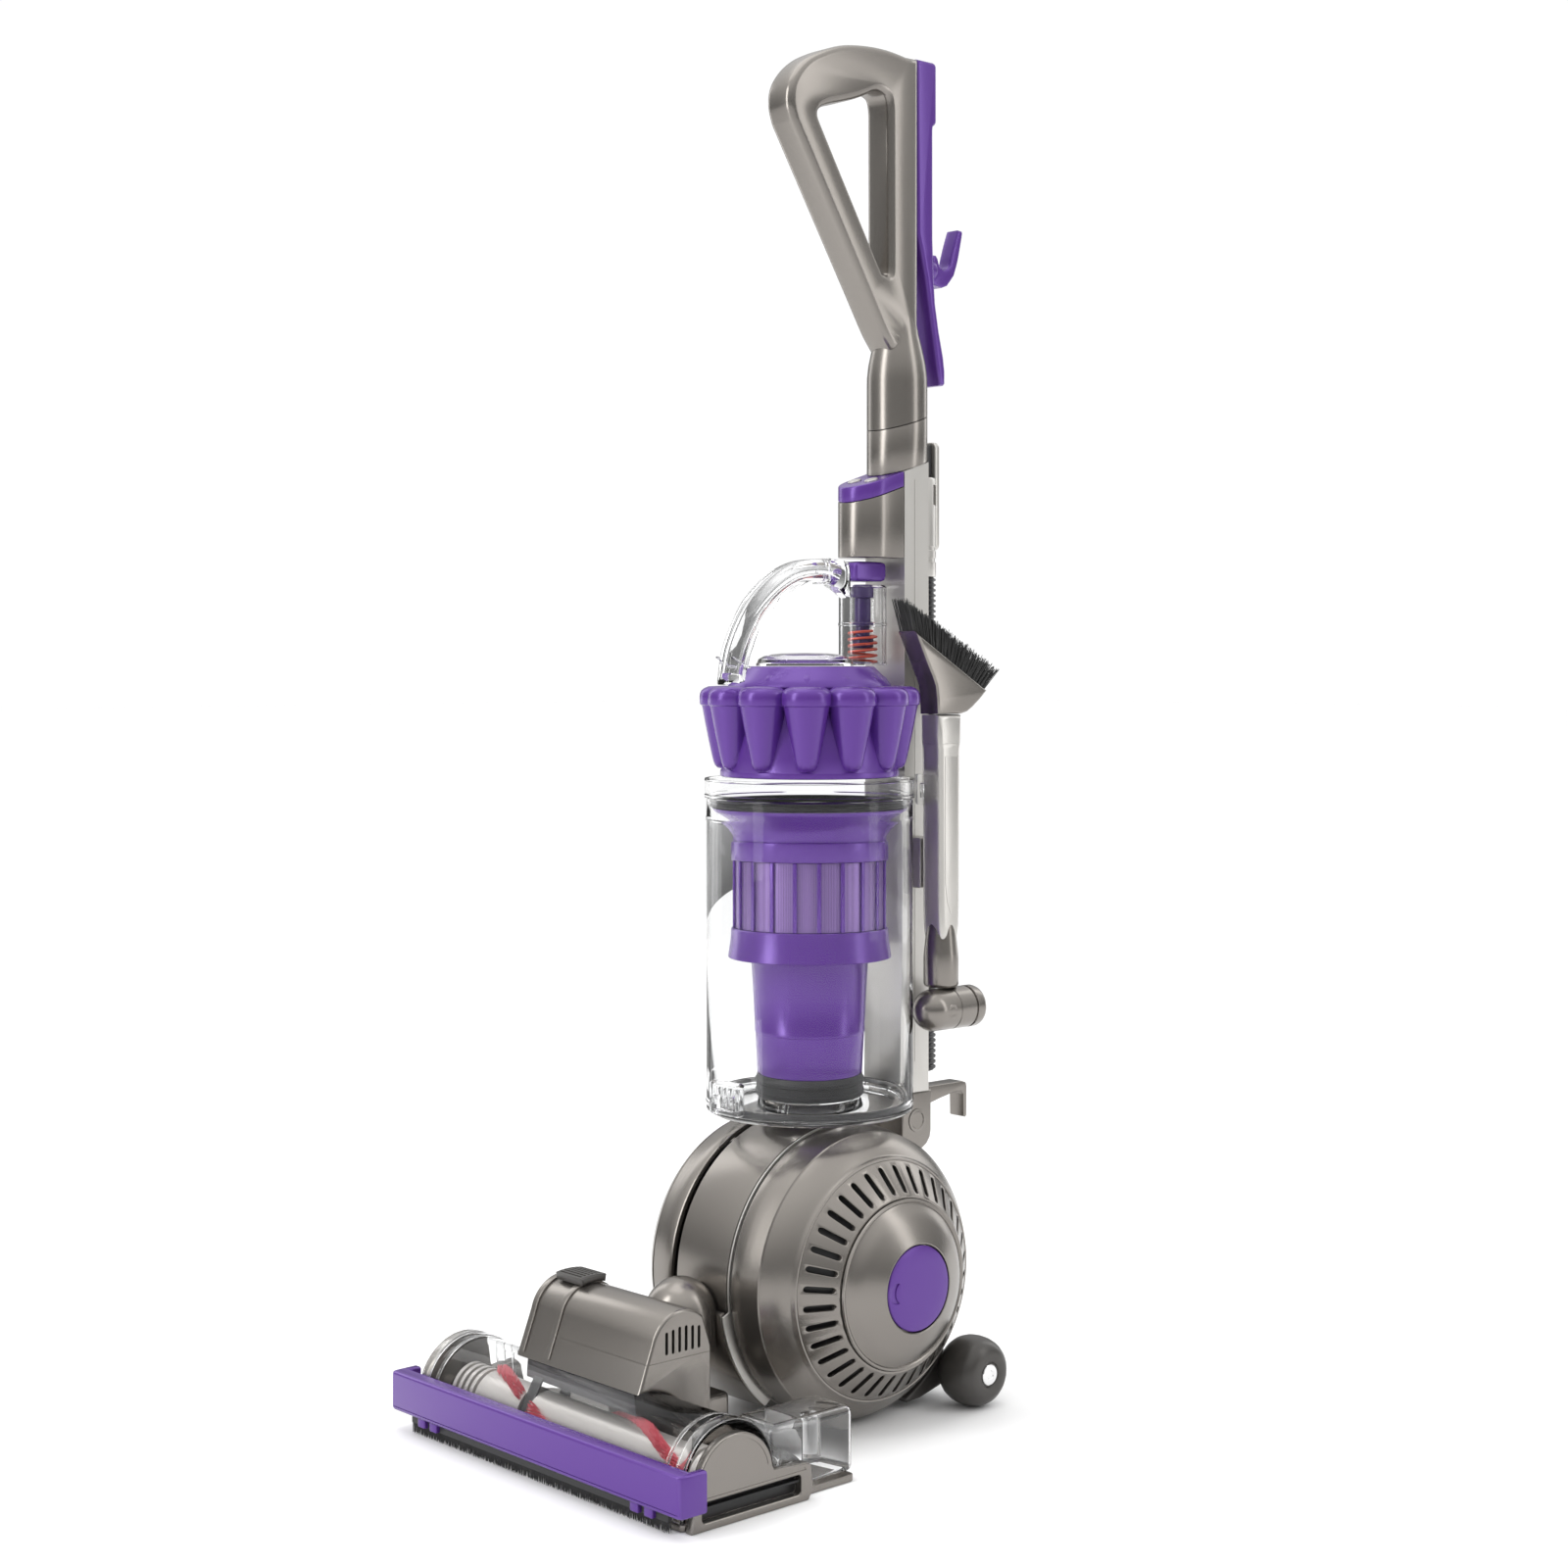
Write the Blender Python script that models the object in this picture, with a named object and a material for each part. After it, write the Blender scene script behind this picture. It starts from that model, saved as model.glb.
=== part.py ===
"""Upright vacuum cleaner on a rolling ball: the floor head, yoke, stand, ball, spine, wand and bin.

Metres, +Z up, the front faces -Y. The origin lies on the floor under the middle of the object's box.
Shapes are given in machine coordinates: X from the middle plane, Y from the ball's axis, Z from the floor.
"""

import math

import bmesh
import bpy
from mathutils import Matrix, Vector

# Reach of the whole machine, measured from the ball's axis.
FRONT_REACH = 0.275
REAR_REACH = 0.170
BALL_Y = (FRONT_REACH - REAR_REACH) / 2

# Clearances.
SEAT = 0.0003  # between pieces that touch
RUN = 0.0005  # between pieces that turn or slide past each other
STEPS = 24  # sides of a small turned piece
BIG_STEPS = 36  # sides of a large one

# Ball: a middle band on the motor bucket, and a turning shell on each side.
BALL_R = 0.1125
BAND_HALF = 0.0285
PLATE_T = 0.0020
SHELL_WALL = 0.0030
SHELL_KNEE_X = 0.0605
SHELL_KNEE_R = 0.1080
VENT_IN_X = 0.0815
VENT_IN_R = 0.0905
VENT_OUT_X = 0.1025
VENT_OUT_R = 0.0645
VENT_COUNT = 18
VENT_SLOT_LOW_R = 0.0680
VENT_SLOT_HIGH_R = 0.0860
DOME_X = 0.1190
BUTTON_R = 0.0320
BUTTON_X = 0.1210
HUB_R = 0.0160
AXLE_R = 0.0120
BEARING_R = 0.0200
BEARING_X = (0.0600, 0.0700)
MOTOR_R = 0.0500

YOKE_X = BAND_HALF + RUN
STAND_X = YOKE_X + PLATE_T + RUN
SHELL_X = STAND_X + PLATE_T + RUN
SADDLE_IN_R = BALL_R + 0.0010
SADDLE_T = 0.0050
SADDLE_ARC = (188, 232)
YOKE_PLATE_R = BALL_R - 0.0015

# Stand: a cradle behind the ball with two barrel wheels.
WHEEL_R = 0.0270
WHEEL_END_R = 0.0190
WHEEL_X = (0.0655, 0.1045)
WHEEL_TO_BALL = 0.100068
WHEEL_Y = math.sqrt((WHEEL_TO_BALL + WHEEL_R) ** 2 - (BALL_R - WHEEL_R) ** 2)
WHEEL_PIN_R = 0.0050
CRADLE_HALF = 0.0600
CRADLE_IN_R = BALL_R + 0.0015
CRADLE_ARC = (-66, -40)
ARM_HUB_R = 0.0260

# Floor head.
HEAD_HALF = 0.1620
END_PLATE_T = 0.0075
BUMPER_HALF = 0.1700
BUMPER_T = 0.0135
BUMPER_Z = (0.0150, 0.0440)
BUMPER_LIP = 0.0240
SOLE_T = 0.0050
SOLE_Y = (-0.2600, -0.1000)
WINDOW_HALF_X = 0.1450
WINDOW_HALF_Y = 0.0260
BRUSH_Y = -0.2190
BRUSH_Z = 0.0245
BRUSH_R = 0.0165
BRISTLE_R = 0.0225
BRUSH_HALF = 0.1400
BRUSH_TURNS = 0.9
COVER_R = 0.0400
COVER_WALL = 0.0022
END_ARCH_R = 0.0335
END_SLOT_Z = (0.0055, 0.0190)
COVER_Z = BRUSH_Z + 0.0020
HOUSING_X = (-0.0760, 0.0680)
HOUSING_WALL = 0.0025
HOUSING_Y = -0.1870
HOUSING_Z = 0.0925
HOUSING_R = 0.0275
HOUSING_REAR = -0.1600
HOUSING_FLOOR = 0.0413
HEAD_MOTOR_R = 0.0185
HEAD_MOTOR_X = (-0.0450, 0.0300)
PULLEY_R = 0.0083
BELT_T = 0.0015
BELT_X = (-0.0585, -0.0485)
NECK_Y = -0.1320
NECK_R = 0.0200
NECK_WALL = 0.0025
NECK_TOP = 0.0680
ELBOW_R = 0.0270
ELBOW_TOP = 0.1220

# Spine, wand and handle.
SPINE_HALF = 0.0222
SPINE_FRONT = 0.0828
SPINE_REAR = 0.1100
SPINE_WALL = 0.0014
SPINE_WEB = 0.0077
SPINE_FOOT = 0.2355
NOSE_Y = 0.0615
NOSE_FOOT = 0.6620
SLANT_POINT = (0.0, 0.0820, 0.7310)
SLANT_RISE = 0.32
COLLAR_H = 0.0120
WAND_Y = 0.0965
WAND_R = 0.0244
WAND_WALL = 0.0030
WAND_SEAM = 0.7720
INNER_WAND_Y = 0.1070
INNER_WAND_R = 0.0100
HOSE_Y = 0.1120
HOSE_R = 0.0205
HOSE_WALL = 0.0020
HOSE_Z = (0.2500, 0.6480)
CUFF_TOP = 0.7280
GRIP_HALF = 0.0145
INLAY_HALF = 0.0120
HANDLE_TOP = 1.0680
HOOK_PIVOT = (0.0, 0.1275, 0.8985)
HOOK_GAP = 0.0030

# Bin and cyclones.
BIN_R = 0.0808
BIN_WALL = 0.0025
BIN_Z = (0.2360, 0.4890)
RIM_R = BIN_R + 0.0014
SEAL_IN_R = BIN_R - 0.0108
RIM_H = 0.0140
BASE_Z = (0.2285, 0.2345)
CONE_COUNT = 12
CONE_PITCH = 0.0665
PACK_Z = (0.4900, 0.5760)
PACK_CORE_R = 0.0450
DUST_CONE_R = 0.0460
SHROUD_R = 0.0595
ARCH_HALF = 0.0095
COLUMN_Y = 0.0577
COLUMN_R = 0.0190
COLUMN_Z = (0.5770, 0.6400)

# Tool on the right side of the spine.
TOOL_X = (0.0400, 0.0620)
TOOL_Y = (0.0810, 0.1080)
TOOL_COLLAR_R = 0.0140
ELBOW_AXIS = (0.0560, 0.0945, 0.3060)
TOOL_ELBOW_R = 0.0165

FINISHES = {
    "iron_grey": ((0.235, 0.220, 0.205), 0.32, 0.75),
    "light_silver": ((0.620, 0.605, 0.570), 0.34, 0.55),
    "purple": ((0.115, 0.035, 0.365), 0.30, 0.15),
    "clear": ((0.930, 0.940, 0.945), 0.05, 0.0),
    "wheel_grey": ((0.085, 0.080, 0.075), 0.50, 0.10),
    "black_rubber": ((0.012, 0.012, 0.013), 0.70, 0.0),
    "black_plastic": ((0.016, 0.016, 0.017), 0.42, 0.0),
    "red_bristle": ((0.500, 0.020, 0.035), 0.75, 0.0),
    "chrome": ((0.800, 0.800, 0.800), 0.10, 1.0),
    "steel": ((0.560, 0.560, 0.560), 0.28, 1.0),
}


def clear_scene():
    """Remove whatever the open file holds."""
    for obj in list(bpy.data.objects):
        bpy.data.objects.remove(obj, do_unlink=True)


def make_finish(name):
    """Return the named Principled material, making it the first time."""
    if name in bpy.data.materials:
        return bpy.data.materials[name]
    colour, roughness, metallic = FINISHES[name]
    material = bpy.data.materials.new(name)
    material.use_nodes = True
    shader = material.node_tree.nodes["Principled BSDF"]
    shader.inputs["Base Color"].default_value = (*colour, 1.0)
    shader.inputs["Roughness"].default_value = roughness
    shader.inputs["Metallic"].default_value = metallic
    if name == "clear":
        shader.inputs["Transmission Weight"].default_value = 0.9
    return material


def add(name, bm, finish, pivot=(0, 0, 0)):
    """Turn a bmesh in machine coordinates into a named object whose origin is its joint's pivot."""
    bmesh.ops.translate(bm, verts=bm.verts, vec=-Vector(pivot))
    bmesh.ops.recalc_face_normals(bm, faces=bm.faces)
    mesh = bpy.data.meshes.new(name)
    bm.to_mesh(mesh)
    bm.free()
    mesh.shade_smooth()
    mesh.set_sharp_from_angle(angle=math.radians(35))
    mesh.materials.append(make_finish(finish))
    obj = bpy.data.objects.new(name, mesh)
    obj.location = pivot
    obj.parent = bpy.data.objects["machine"]
    bpy.context.scene.collection.objects.link(obj)
    return obj


def combine(obj, bm, operation):
    """Give an object a Boolean with a hidden helper made from a bmesh in machine coordinates."""
    helper = add(f"{obj.name}_helper_{len(obj.modifiers)}", bm, "steel")
    helper.hide_render = True
    helper.display_type = "WIRE"
    modifier = obj.modifiers.new(operation.lower(), "BOOLEAN")
    modifier.operation = operation
    modifier.solver = "EXACT"
    modifier.object = helper


def carve(obj, *cutters):
    """Cut each bmesh out of the object."""
    for bm in cutters:
        combine(obj, bm, "DIFFERENCE")


def weld(obj, *pieces):
    """Unite each bmesh with the object."""
    for bm in pieces:
        combine(obj, bm, "UNION")


def loft(rings, closed=False):
    """A solid through rings of equally many points; a ring of one point is a pole."""
    bm = bmesh.new()
    rows = [[bm.verts.new(point) for point in ring] for ring in rings]
    pairs = list(zip(rows, rows[1:]))
    if closed:
        pairs.append((rows[-1], rows[0]))
    for first, second in pairs:
        count = max(len(first), len(second))
        for index in range(count):
            after = (index + 1) % count
            corners = [first[index % len(first)], first[after % len(first)]]
            corners += [second[after % len(second)], second[index % len(second)]]
            bm.faces.new(list(dict.fromkeys(corners)))
    for row in (rows[0], rows[-1]):
        if not closed and len(row) > 1:
            bm.faces.new(row)
    return bm


def on_axis(axis, along, across):
    """A point from its distance along an axis and its two distances across it."""
    first, second = across
    return {
        "X": Vector((along, first, second)),
        "Y": Vector((first, along, second)),
        "Z": Vector((first, second, along)),
    }[axis]


def turned(profile, axis, centre, steps=STEPS):
    """A turned solid from (along, radius) points; an open profile starts and ends on the axis."""
    rings = []
    for along, radius in profile:
        if radius == 0:
            rings.append([on_axis(axis, along, centre)])
            continue
        ring = []
        for step in range(steps):
            angle = math.tau * (step + 0.5) / steps
            across = (centre[0] + radius * math.cos(angle), centre[1] + radius * math.sin(angle))
            ring.append(on_axis(axis, along, across))
        rings.append(ring)
    hollow = profile[0][1] > 0 and profile[-1][1] > 0
    return loft(rings, closed=hollow)


def rod(axis, low, high, radius, centre, steps=STEPS):
    """A plain round rod."""
    return turned([(low, 0), (low, radius), (high, radius), (high, 0)], axis, centre, steps)


def ring(axis, low, high, inner, outer, centre, steps=STEPS):
    """A plain tube or washer."""
    return turned([(low, inner), (low, outer), (high, outer), (high, inner)], axis, centre, steps)


def prism(outline, axis, low, high, holes=()):
    """An outline, with or without holes, extruded along an axis."""
    bm = bmesh.new()
    edges = []
    for loop in (outline, *holes):
        verts = [bm.verts.new(on_axis(axis, low, point)) for point in loop]
        edges += [bm.edges.new(pair) for pair in zip(verts, verts[1:] + verts[:1])]
    if holes:
        bmesh.ops.triangle_fill(bm, edges=edges, use_beauty=True)
    else:
        bmesh.ops.contextual_create(bm, geom=edges)
    grown = bmesh.ops.extrude_face_region(bm, geom=bm.faces[:])
    moved = [item for item in grown["geom"] if isinstance(item, bmesh.types.BMVert)]
    bmesh.ops.translate(bm, verts=moved, vec=on_axis(axis, high - low, (0, 0)))
    return bm


def box(x, y, z):
    """A block from its three (low, high) pairs."""
    return prism([(x[0], y[0]), (x[1], y[0]), (x[1], y[1]), (x[0], y[1])], "Z", z[0], z[1])


def arc(centre, radius, start, end, count):
    """Points along an arc, in degrees from the first coordinate's direction."""
    angles = [math.radians(start + (end - start) * step / (count - 1)) for step in range(count)]
    return [(centre[0] + radius * math.cos(a), centre[1] + radius * math.sin(a)) for a in angles]


def circle(centre, radius, count=STEPS):
    """Points round a whole circle."""
    return arc(centre, radius, 0, 360, count + 1)[:-1]


def rounded(x, y, radius, count=4):
    """A rectangle with round corners."""
    corners = [(x[1], y[1], 0), (x[0], y[1], 90), (x[0], y[0], 180), (x[1], y[0], 270)]
    points = []
    for corner_x, corner_y, start in corners:
        middle = (
            corner_x - math.copysign(radius, corner_x - sum(x) / 2),
            corner_y - math.copysign(radius, corner_y - sum(y) / 2),
        )
        points += arc(middle, radius, start, start + 90, count)
    return points


def belt_line(first, second, count=10):
    """The outline that a belt makes round two circles, each (y, z, radius)."""
    (y1, z1, r1), (y2, z2, r2) = first, second
    lean = math.degrees(math.atan2(z2 - z1, y2 - y1))
    open_angle = math.degrees(math.acos((r1 - r2) / math.hypot(y2 - y1, z2 - z1)))
    low = arc((y1, z1), r1, lean + open_angle, lean + 360 - open_angle, 2 * count)
    high = arc((y2, z2), r2, lean - open_angle, lean + open_angle, count)
    return low + high


def sliced(bm, point, normal):
    """Cut off what lies beyond a plane, and close the cut."""
    cut = bmesh.ops.bisect_plane(
        bm, geom=bm.verts[:] + bm.edges[:] + bm.faces[:], plane_co=point, plane_no=normal, clear_outer=True
    )
    edges = [item for item in cut["geom_cut"] if isinstance(item, bmesh.types.BMEdge)]
    bmesh.ops.triangle_fill(bm, edges=edges, use_beauty=True)
    return bm


def slanted(bm, lift, keep_below=True):
    """Cut at the slanted plane on top of the spine, raised by lift."""
    side = 1 if keep_below else -1
    return sliced(bm, Vector(SLANT_POINT) + Vector((0, 0, lift)), Vector((0, -SLANT_RISE, 1)) * side)


# ---------------------------------------------------------------- ball, yoke and stand

BALL_AXIS = (0.0, 0.0, BALL_R)
BALL_CENTRE = (0.0, BALL_R)


def motor_bucket():
    """The middle band of the ball, with its left wall and axle, a right cover, and the motor inside."""
    rim = BAND_HALF - 0.0030
    inner = BALL_R - 0.0085
    wall = -BAND_HALF + 0.0040
    drum = [
        (rim - 0.0010, inner), (BAND_HALF, inner), (BAND_HALF, BALL_R - 0.0020), (rim, BALL_R - 0.0005),
        (0.0, BALL_R), (-rim, BALL_R - 0.0005), (-BAND_HALF, BALL_R - 0.0020), (-BAND_HALF, HUB_R),
        (-SHELL_X, HUB_R), (-SHELL_X, AXLE_R), (-BEARING_X[1] - RUN, AXLE_R), (-BEARING_X[1] - RUN, 0.0080),
        (wall, 0.0080), (wall, inner),
    ]
    add("motor_bucket", turned(drum, "X", BALL_CENTRE, BIG_STEPS), "iron_grey", BALL_AXIS)
    face = BAND_HALF - 0.0035
    cover = [
        (face, 0.0080), (face, inner - SEAT - 0.0005), (BAND_HALF, inner - SEAT - 0.0005),
        (BAND_HALF, HUB_R), (SHELL_X, HUB_R), (SHELL_X, AXLE_R), (BEARING_X[1] + RUN, AXLE_R),
        (BEARING_X[1] + RUN, 0.0080),
    ]
    add("bucket_cover", turned(cover, "X", BALL_CENTRE, BIG_STEPS), "iron_grey", BALL_AXIS)
    motor = [
        (wall + SEAT, 0.0), (wall + SEAT, MOTOR_R - 0.010), (wall + 0.006, MOTOR_R), (face - 0.010, MOTOR_R),
        (face - SEAT, MOTOR_R - 0.015), (face - SEAT, 0.0),
    ]
    add("main_motor", turned(motor, "X", BALL_CENTRE), "black_plastic", BALL_AXIS)


def mirrored(profile, side):
    """A turned profile on the +X side, or its mirror image."""
    return [(side * along, radius) for along, radius in profile]


def pierced_shell(side):
    """A ball shell from its lip to the edge of its dome, pierced by a ring of radial slots."""
    slope = (VENT_OUT_X - VENT_IN_X) / (VENT_IN_R - VENT_OUT_R)
    ends = (VENT_SLOT_HIGH_R, VENT_SLOT_LOW_R)
    cone = [(VENT_IN_X + (VENT_IN_R - radius) * slope, radius) for radius in ends]
    outline = [
        (SHELL_X, BALL_R - 0.0005), (SHELL_KNEE_X - 0.0015, SHELL_KNEE_R + 0.0006), (0.0720, 0.1010),
        (VENT_IN_X, VENT_IN_R), *cone, (VENT_OUT_X - SEAT, VENT_OUT_R + SEAT),
    ]
    slot_row = outline.index(cone[0])
    count = 2 * VENT_COUNT
    bm = bmesh.new()
    layers = []
    for inset in (0.0, SHELL_WALL):
        rows = []
        for along, radius in outline:
            lean = 0.7 if radius < SHELL_KNEE_R else 0.0
            reach = radius - inset * (1.0 - lean)
            x = side * (along - inset * lean)
            turns = [math.tau * (step + 0.5) / count for step in range(count)]
            points = [(x, reach * math.cos(a), BALL_R + reach * math.sin(a)) for a in turns]
            rows.append([bm.verts.new(point) for point in points])
        layers.append(rows)
    outer, inner = layers
    last = len(outline) - 1
    for step in range(count):
        after = (step + 1) % count
        for row in range(last):
            if row == slot_row and step % 2 == 0:
                for edge in (row, row + 1):
                    loop = [outer[edge][step], outer[edge][after], inner[edge][after], inner[edge][step]]
                    bm.faces.new(loop)
                for end in (step, after):
                    bm.faces.new([outer[row][end], outer[row + 1][end], inner[row + 1][end], inner[row][end]])
                continue
            for rows in (outer, inner):
                bm.faces.new([rows[row][step], rows[row][after], rows[row + 1][after], rows[row + 1][step]])
        for row in (0, last):
            bm.faces.new([outer[row][step], outer[row][after], inner[row][after], inner[row][step]])
    return bm


def ball_side(word, side):
    """One turning half of the ball: its shell with the vents, the dome with its hub, and the bearing."""
    add(f"ball_shell_{word}", pierced_shell(side), "iron_grey", BALL_AXIS)
    hub_in = BEARING_R + RUN
    hub_out = hub_in + 0.0040
    back = DOME_X - 0.0090
    rim = BUTTON_R + 0.0010
    dome = [
        (BEARING_X[0], hub_in), (BEARING_X[0], hub_out), (back, hub_out), (back, rim + 0.0040),
        (VENT_OUT_X - 0.0020, VENT_OUT_R - 0.0030), (VENT_OUT_X, VENT_OUT_R), (0.1110, 0.0520), (DOME_X, rim),
    ]
    floor = DOME_X - 0.0060
    if side > 0:
        dome += [(floor, rim), (floor, hub_in)]
    else:
        cap = BUTTON_X - 0.0010
        dome = [(floor, 0.0), (floor, hub_in)] + dome + [(cap, 0.0150), (cap, 0.0)]
    add(f"dome_{word}", turned(mirrored(dome, side), "X", BALL_CENTRE, BIG_STEPS), "iron_grey", BALL_AXIS)
    low, high = sorted((side * (BEARING_X[0] + RUN), side * BEARING_X[1]))
    bearing = ring("X", low, high, AXLE_R + SEAT, BEARING_R, BALL_CENTRE)
    add(f"ball_bearing_{word}", bearing, "steel", BALL_AXIS)


def ball_button():
    """The quarter-turn button in the right dome, with a thumb recess at its edge."""
    floor = DOME_X - 0.0060 + RUN
    profile = [
        (floor, 0.0), (floor, BUTTON_R), (BUTTON_X - 0.0025, BUTTON_R),
        (BUTTON_X - 0.0008, BUTTON_R - 0.0080), (BUTTON_X, 0.0),
    ]
    button = add("ball_button", turned(profile, "X", BALL_CENTRE, BIG_STEPS), "purple", BALL_AXIS)
    carve(button, rod("X", BUTTON_X - 0.0020, BUTTON_X + 0.0050, 0.0070, (-0.0290, BALL_R)))


def yoke():
    """Two thin side plates on the bucket's hubs, and the saddle and elbow that join them to the neck."""
    outer = SADDLE_IN_R + SADDLE_T
    outline = arc(BALL_CENTRE, YOKE_PLATE_R, SADDLE_ARC[1] - 360, SADDLE_ARC[0], 40)
    outline += arc(BALL_CENTRE, outer, SADDLE_ARC[0], SADDLE_ARC[1], 10)
    bore = circle(BALL_CENTRE, HUB_R + RUN)
    for word, side in (("left", -1), ("right", 1)):
        low, high = sorted((side * YOKE_X, side * (YOKE_X + PLATE_T)))
        add(f"yoke_plate_{word}", prism(outline, "X", low, high, [bore]), "light_silver", BALL_AXIS)
    saddle = arc(BALL_CENTRE, SADDLE_IN_R, *SADDLE_ARC, 12)
    saddle += arc(BALL_CENTRE, outer, SADDLE_ARC[1], SADDLE_ARC[0], 12)
    half = YOKE_X - SEAT
    body = add("yoke_saddle", prism(saddle, "X", -half, half), "iron_grey", (0.0, NECK_Y, NECK_TOP))
    foot = NECK_TOP + RUN
    crown = arc((0.0, ELBOW_TOP - ELBOW_R), ELBOW_R, 0, 90, 8)
    profile = [(foot, 0.0), (foot, ELBOW_R)] + [(height, radius) for radius, height in crown[:-1]]
    profile.append((ELBOW_TOP, 0.0))
    weld(body, turned(profile, "Z", (0.0, NECK_Y), 32))
    carve(body, rod("X", -0.04, 0.04, SADDLE_IN_R, BALL_CENTRE, BIG_STEPS))


def stand():
    """The folding stand: a cradle behind the ball on two thin arms, with an axle for its wheels."""
    cradle = arc(BALL_CENTRE, CRADLE_IN_R, *CRADLE_ARC, 8)
    y = WHEEL_Y
    cradle += [(y + 0.0045, 0.0355), (y + 0.0095, WHEEL_R), (y + 0.0040, 0.0160), (y - 0.0090, 0.0115)]
    cradle += [(0.0620, 0.0058), (0.0480, 0.0050)]
    body = add("stand", prism(cradle, "X", -CRADLE_HALF, CRADLE_HALF), "wheel_grey", BALL_AXIS)
    arm = arc(BALL_CENTRE, ARM_HUB_R, 52, 202, 12) + arc(BALL_CENTRE, CRADLE_IN_R + 0.0015, -64, -42, 8)
    bore = circle(BALL_CENTRE, HUB_R + RUN)
    for side in (-1, 1):
        low, high = sorted((side * STAND_X, side * (STAND_X + PLATE_T)))
        weld(body, prism(arm, "X", low, high, [bore]))
    carve(body, rod("X", -0.07, 0.07, WHEEL_PIN_R + SEAT, (WHEEL_Y, WHEEL_R), 16))
    pin_end = WHEEL_X[1] - 0.0010
    pin = rod("X", -pin_end, pin_end, WHEEL_PIN_R, (WHEEL_Y, WHEEL_R), 16)
    add("wheel_axle", pin, "chrome", (0.0, WHEEL_Y, WHEEL_R))


def stand_wheel(word, side):
    """A barrel wheel on the stand's axle."""
    low, high = WHEEL_X
    bore = WHEEL_PIN_R + RUN
    span = high - low
    profile = [
        (low, bore), (low, WHEEL_END_R), (low + 0.15 * span, WHEEL_R - 0.0020), (low + 0.35 * span, WHEEL_R),
        (low + 0.65 * span, WHEEL_R), (low + 0.85 * span, WHEEL_R - 0.0020), (high, WHEEL_END_R),
        (high, bore),
    ]
    pivot = (0.0, WHEEL_Y, WHEEL_R)
    bm = turned(mirrored(profile, side), "X", pivot[1:], STEPS)
    add(f"stand_wheel_{word}", bm, "wheel_grey", pivot)


# ---------------------------------------------------------------- floor head


def sole_and_ends():
    """The soleplate with its brush window, and an arched end plate on each side."""
    inner = HEAD_HALF - END_PLATE_T
    sole_half = inner - SEAT
    front, rear = SOLE_Y
    outline = [(-sole_half, front), (sole_half, front), (sole_half, rear), (-sole_half, rear)]
    wide = WINDOW_HALF_X
    ahead, behind = BRUSH_Y - WINDOW_HALF_Y, BRUSH_Y + WINDOW_HALF_Y
    window = [(-wide, ahead), (wide, ahead), (wide, behind), (-wide, behind)]
    add("soleplate", prism(outline, "Z", 0.0, SOLE_T, [window]), "iron_grey")
    top = arc((BRUSH_Y, COVER_Z), END_ARCH_R, 180, 8, 14)
    plate = [(SOLE_Y[0] + 0.0020, 0.0)] + top + [(-0.1500, 0.0260), (-0.1480, 0.0060), (-0.1520, 0.0)]
    slot = rounded((-0.2490, -0.1590), END_SLOT_Z, 0.0030)
    for word, side in (("left", -1), ("right", 1)):
        low, high = sorted((side * inner, side * HEAD_HALF))
        add(f"end_plate_{word}", prism(plate, "X", low, high, [slot]), "iron_grey")


def brush_cover():
    """The clear arch over the brush bar, open under the motor housing, and the clear rear box."""
    floor = SOLE_T + SEAT
    half = HEAD_HALF - END_PLATE_T - 2 * SEAT
    outer = [(BRUSH_Y + COVER_R, floor)] + arc((BRUSH_Y, COVER_Z), COVER_R, 0, 180, 20)
    outer.append((BRUSH_Y - COVER_R, floor))
    inner_r = COVER_R - COVER_WALL
    inner = [(BRUSH_Y - inner_r, floor)] + arc((BRUSH_Y, COVER_Z), inner_r, 180, 0, 20)
    inner.append((BRUSH_Y + inner_r, floor))
    cover = add("brush_cover", prism(outer + inner, "X", -half, half), "clear")
    under_housing = (HOUSING_X[0] + 0.0045, HOUSING_X[1] - 0.0080)
    carve(cover, box(under_housing, (BRUSH_Y - 0.0050, BRUSH_Y + 0.0360), (0.0400, 0.0700)))
    rear = BRUSH_Y + COVER_R
    weld(cover, box((0.1120, half), (rear - COVER_WALL / 2, SOLE_Y[1]), (floor, 0.0540)))
    carve(cover, box((0.1140, half - 0.0020), (rear + 0.0020, SOLE_Y[1] - 0.0020), (0.0, 0.0520)))


def bumper():
    """The bumper bar with its end lips, and the bristle strip under it."""
    front = -FRONT_REACH
    back = front + BUMPER_T
    lip = front + BUMPER_LIP
    step = HEAD_HALF + 0.0010
    outline = [
        (-BUMPER_HALF, front + 0.004), (-BUMPER_HALF + 0.004, front), (BUMPER_HALF - 0.004, front),
        (BUMPER_HALF, front + 0.004), (BUMPER_HALF, lip), (step, lip), (step, back), (-step, back),
        (-step, lip), (-BUMPER_HALF, lip),
    ]
    add("bumper", prism(outline, "Z", *BUMPER_Z), "purple")
    strip = box((-0.1500, 0.1500), (front + 0.0060, front + 0.0100), (0.0005, BUMPER_Z[0] - SEAT))
    add("front_bristle_strip", strip, "black_plastic")


def ridge_stations(low, high, ridge):
    """Sections every 35 mm or so along a stretch of the brush bar that carries bristle."""
    count = 2 + round((high - low) / 0.0350)
    return [(low + (high - low) * step / (count - 1), BRUSH_R, ridge) for step in range(count)]


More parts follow.
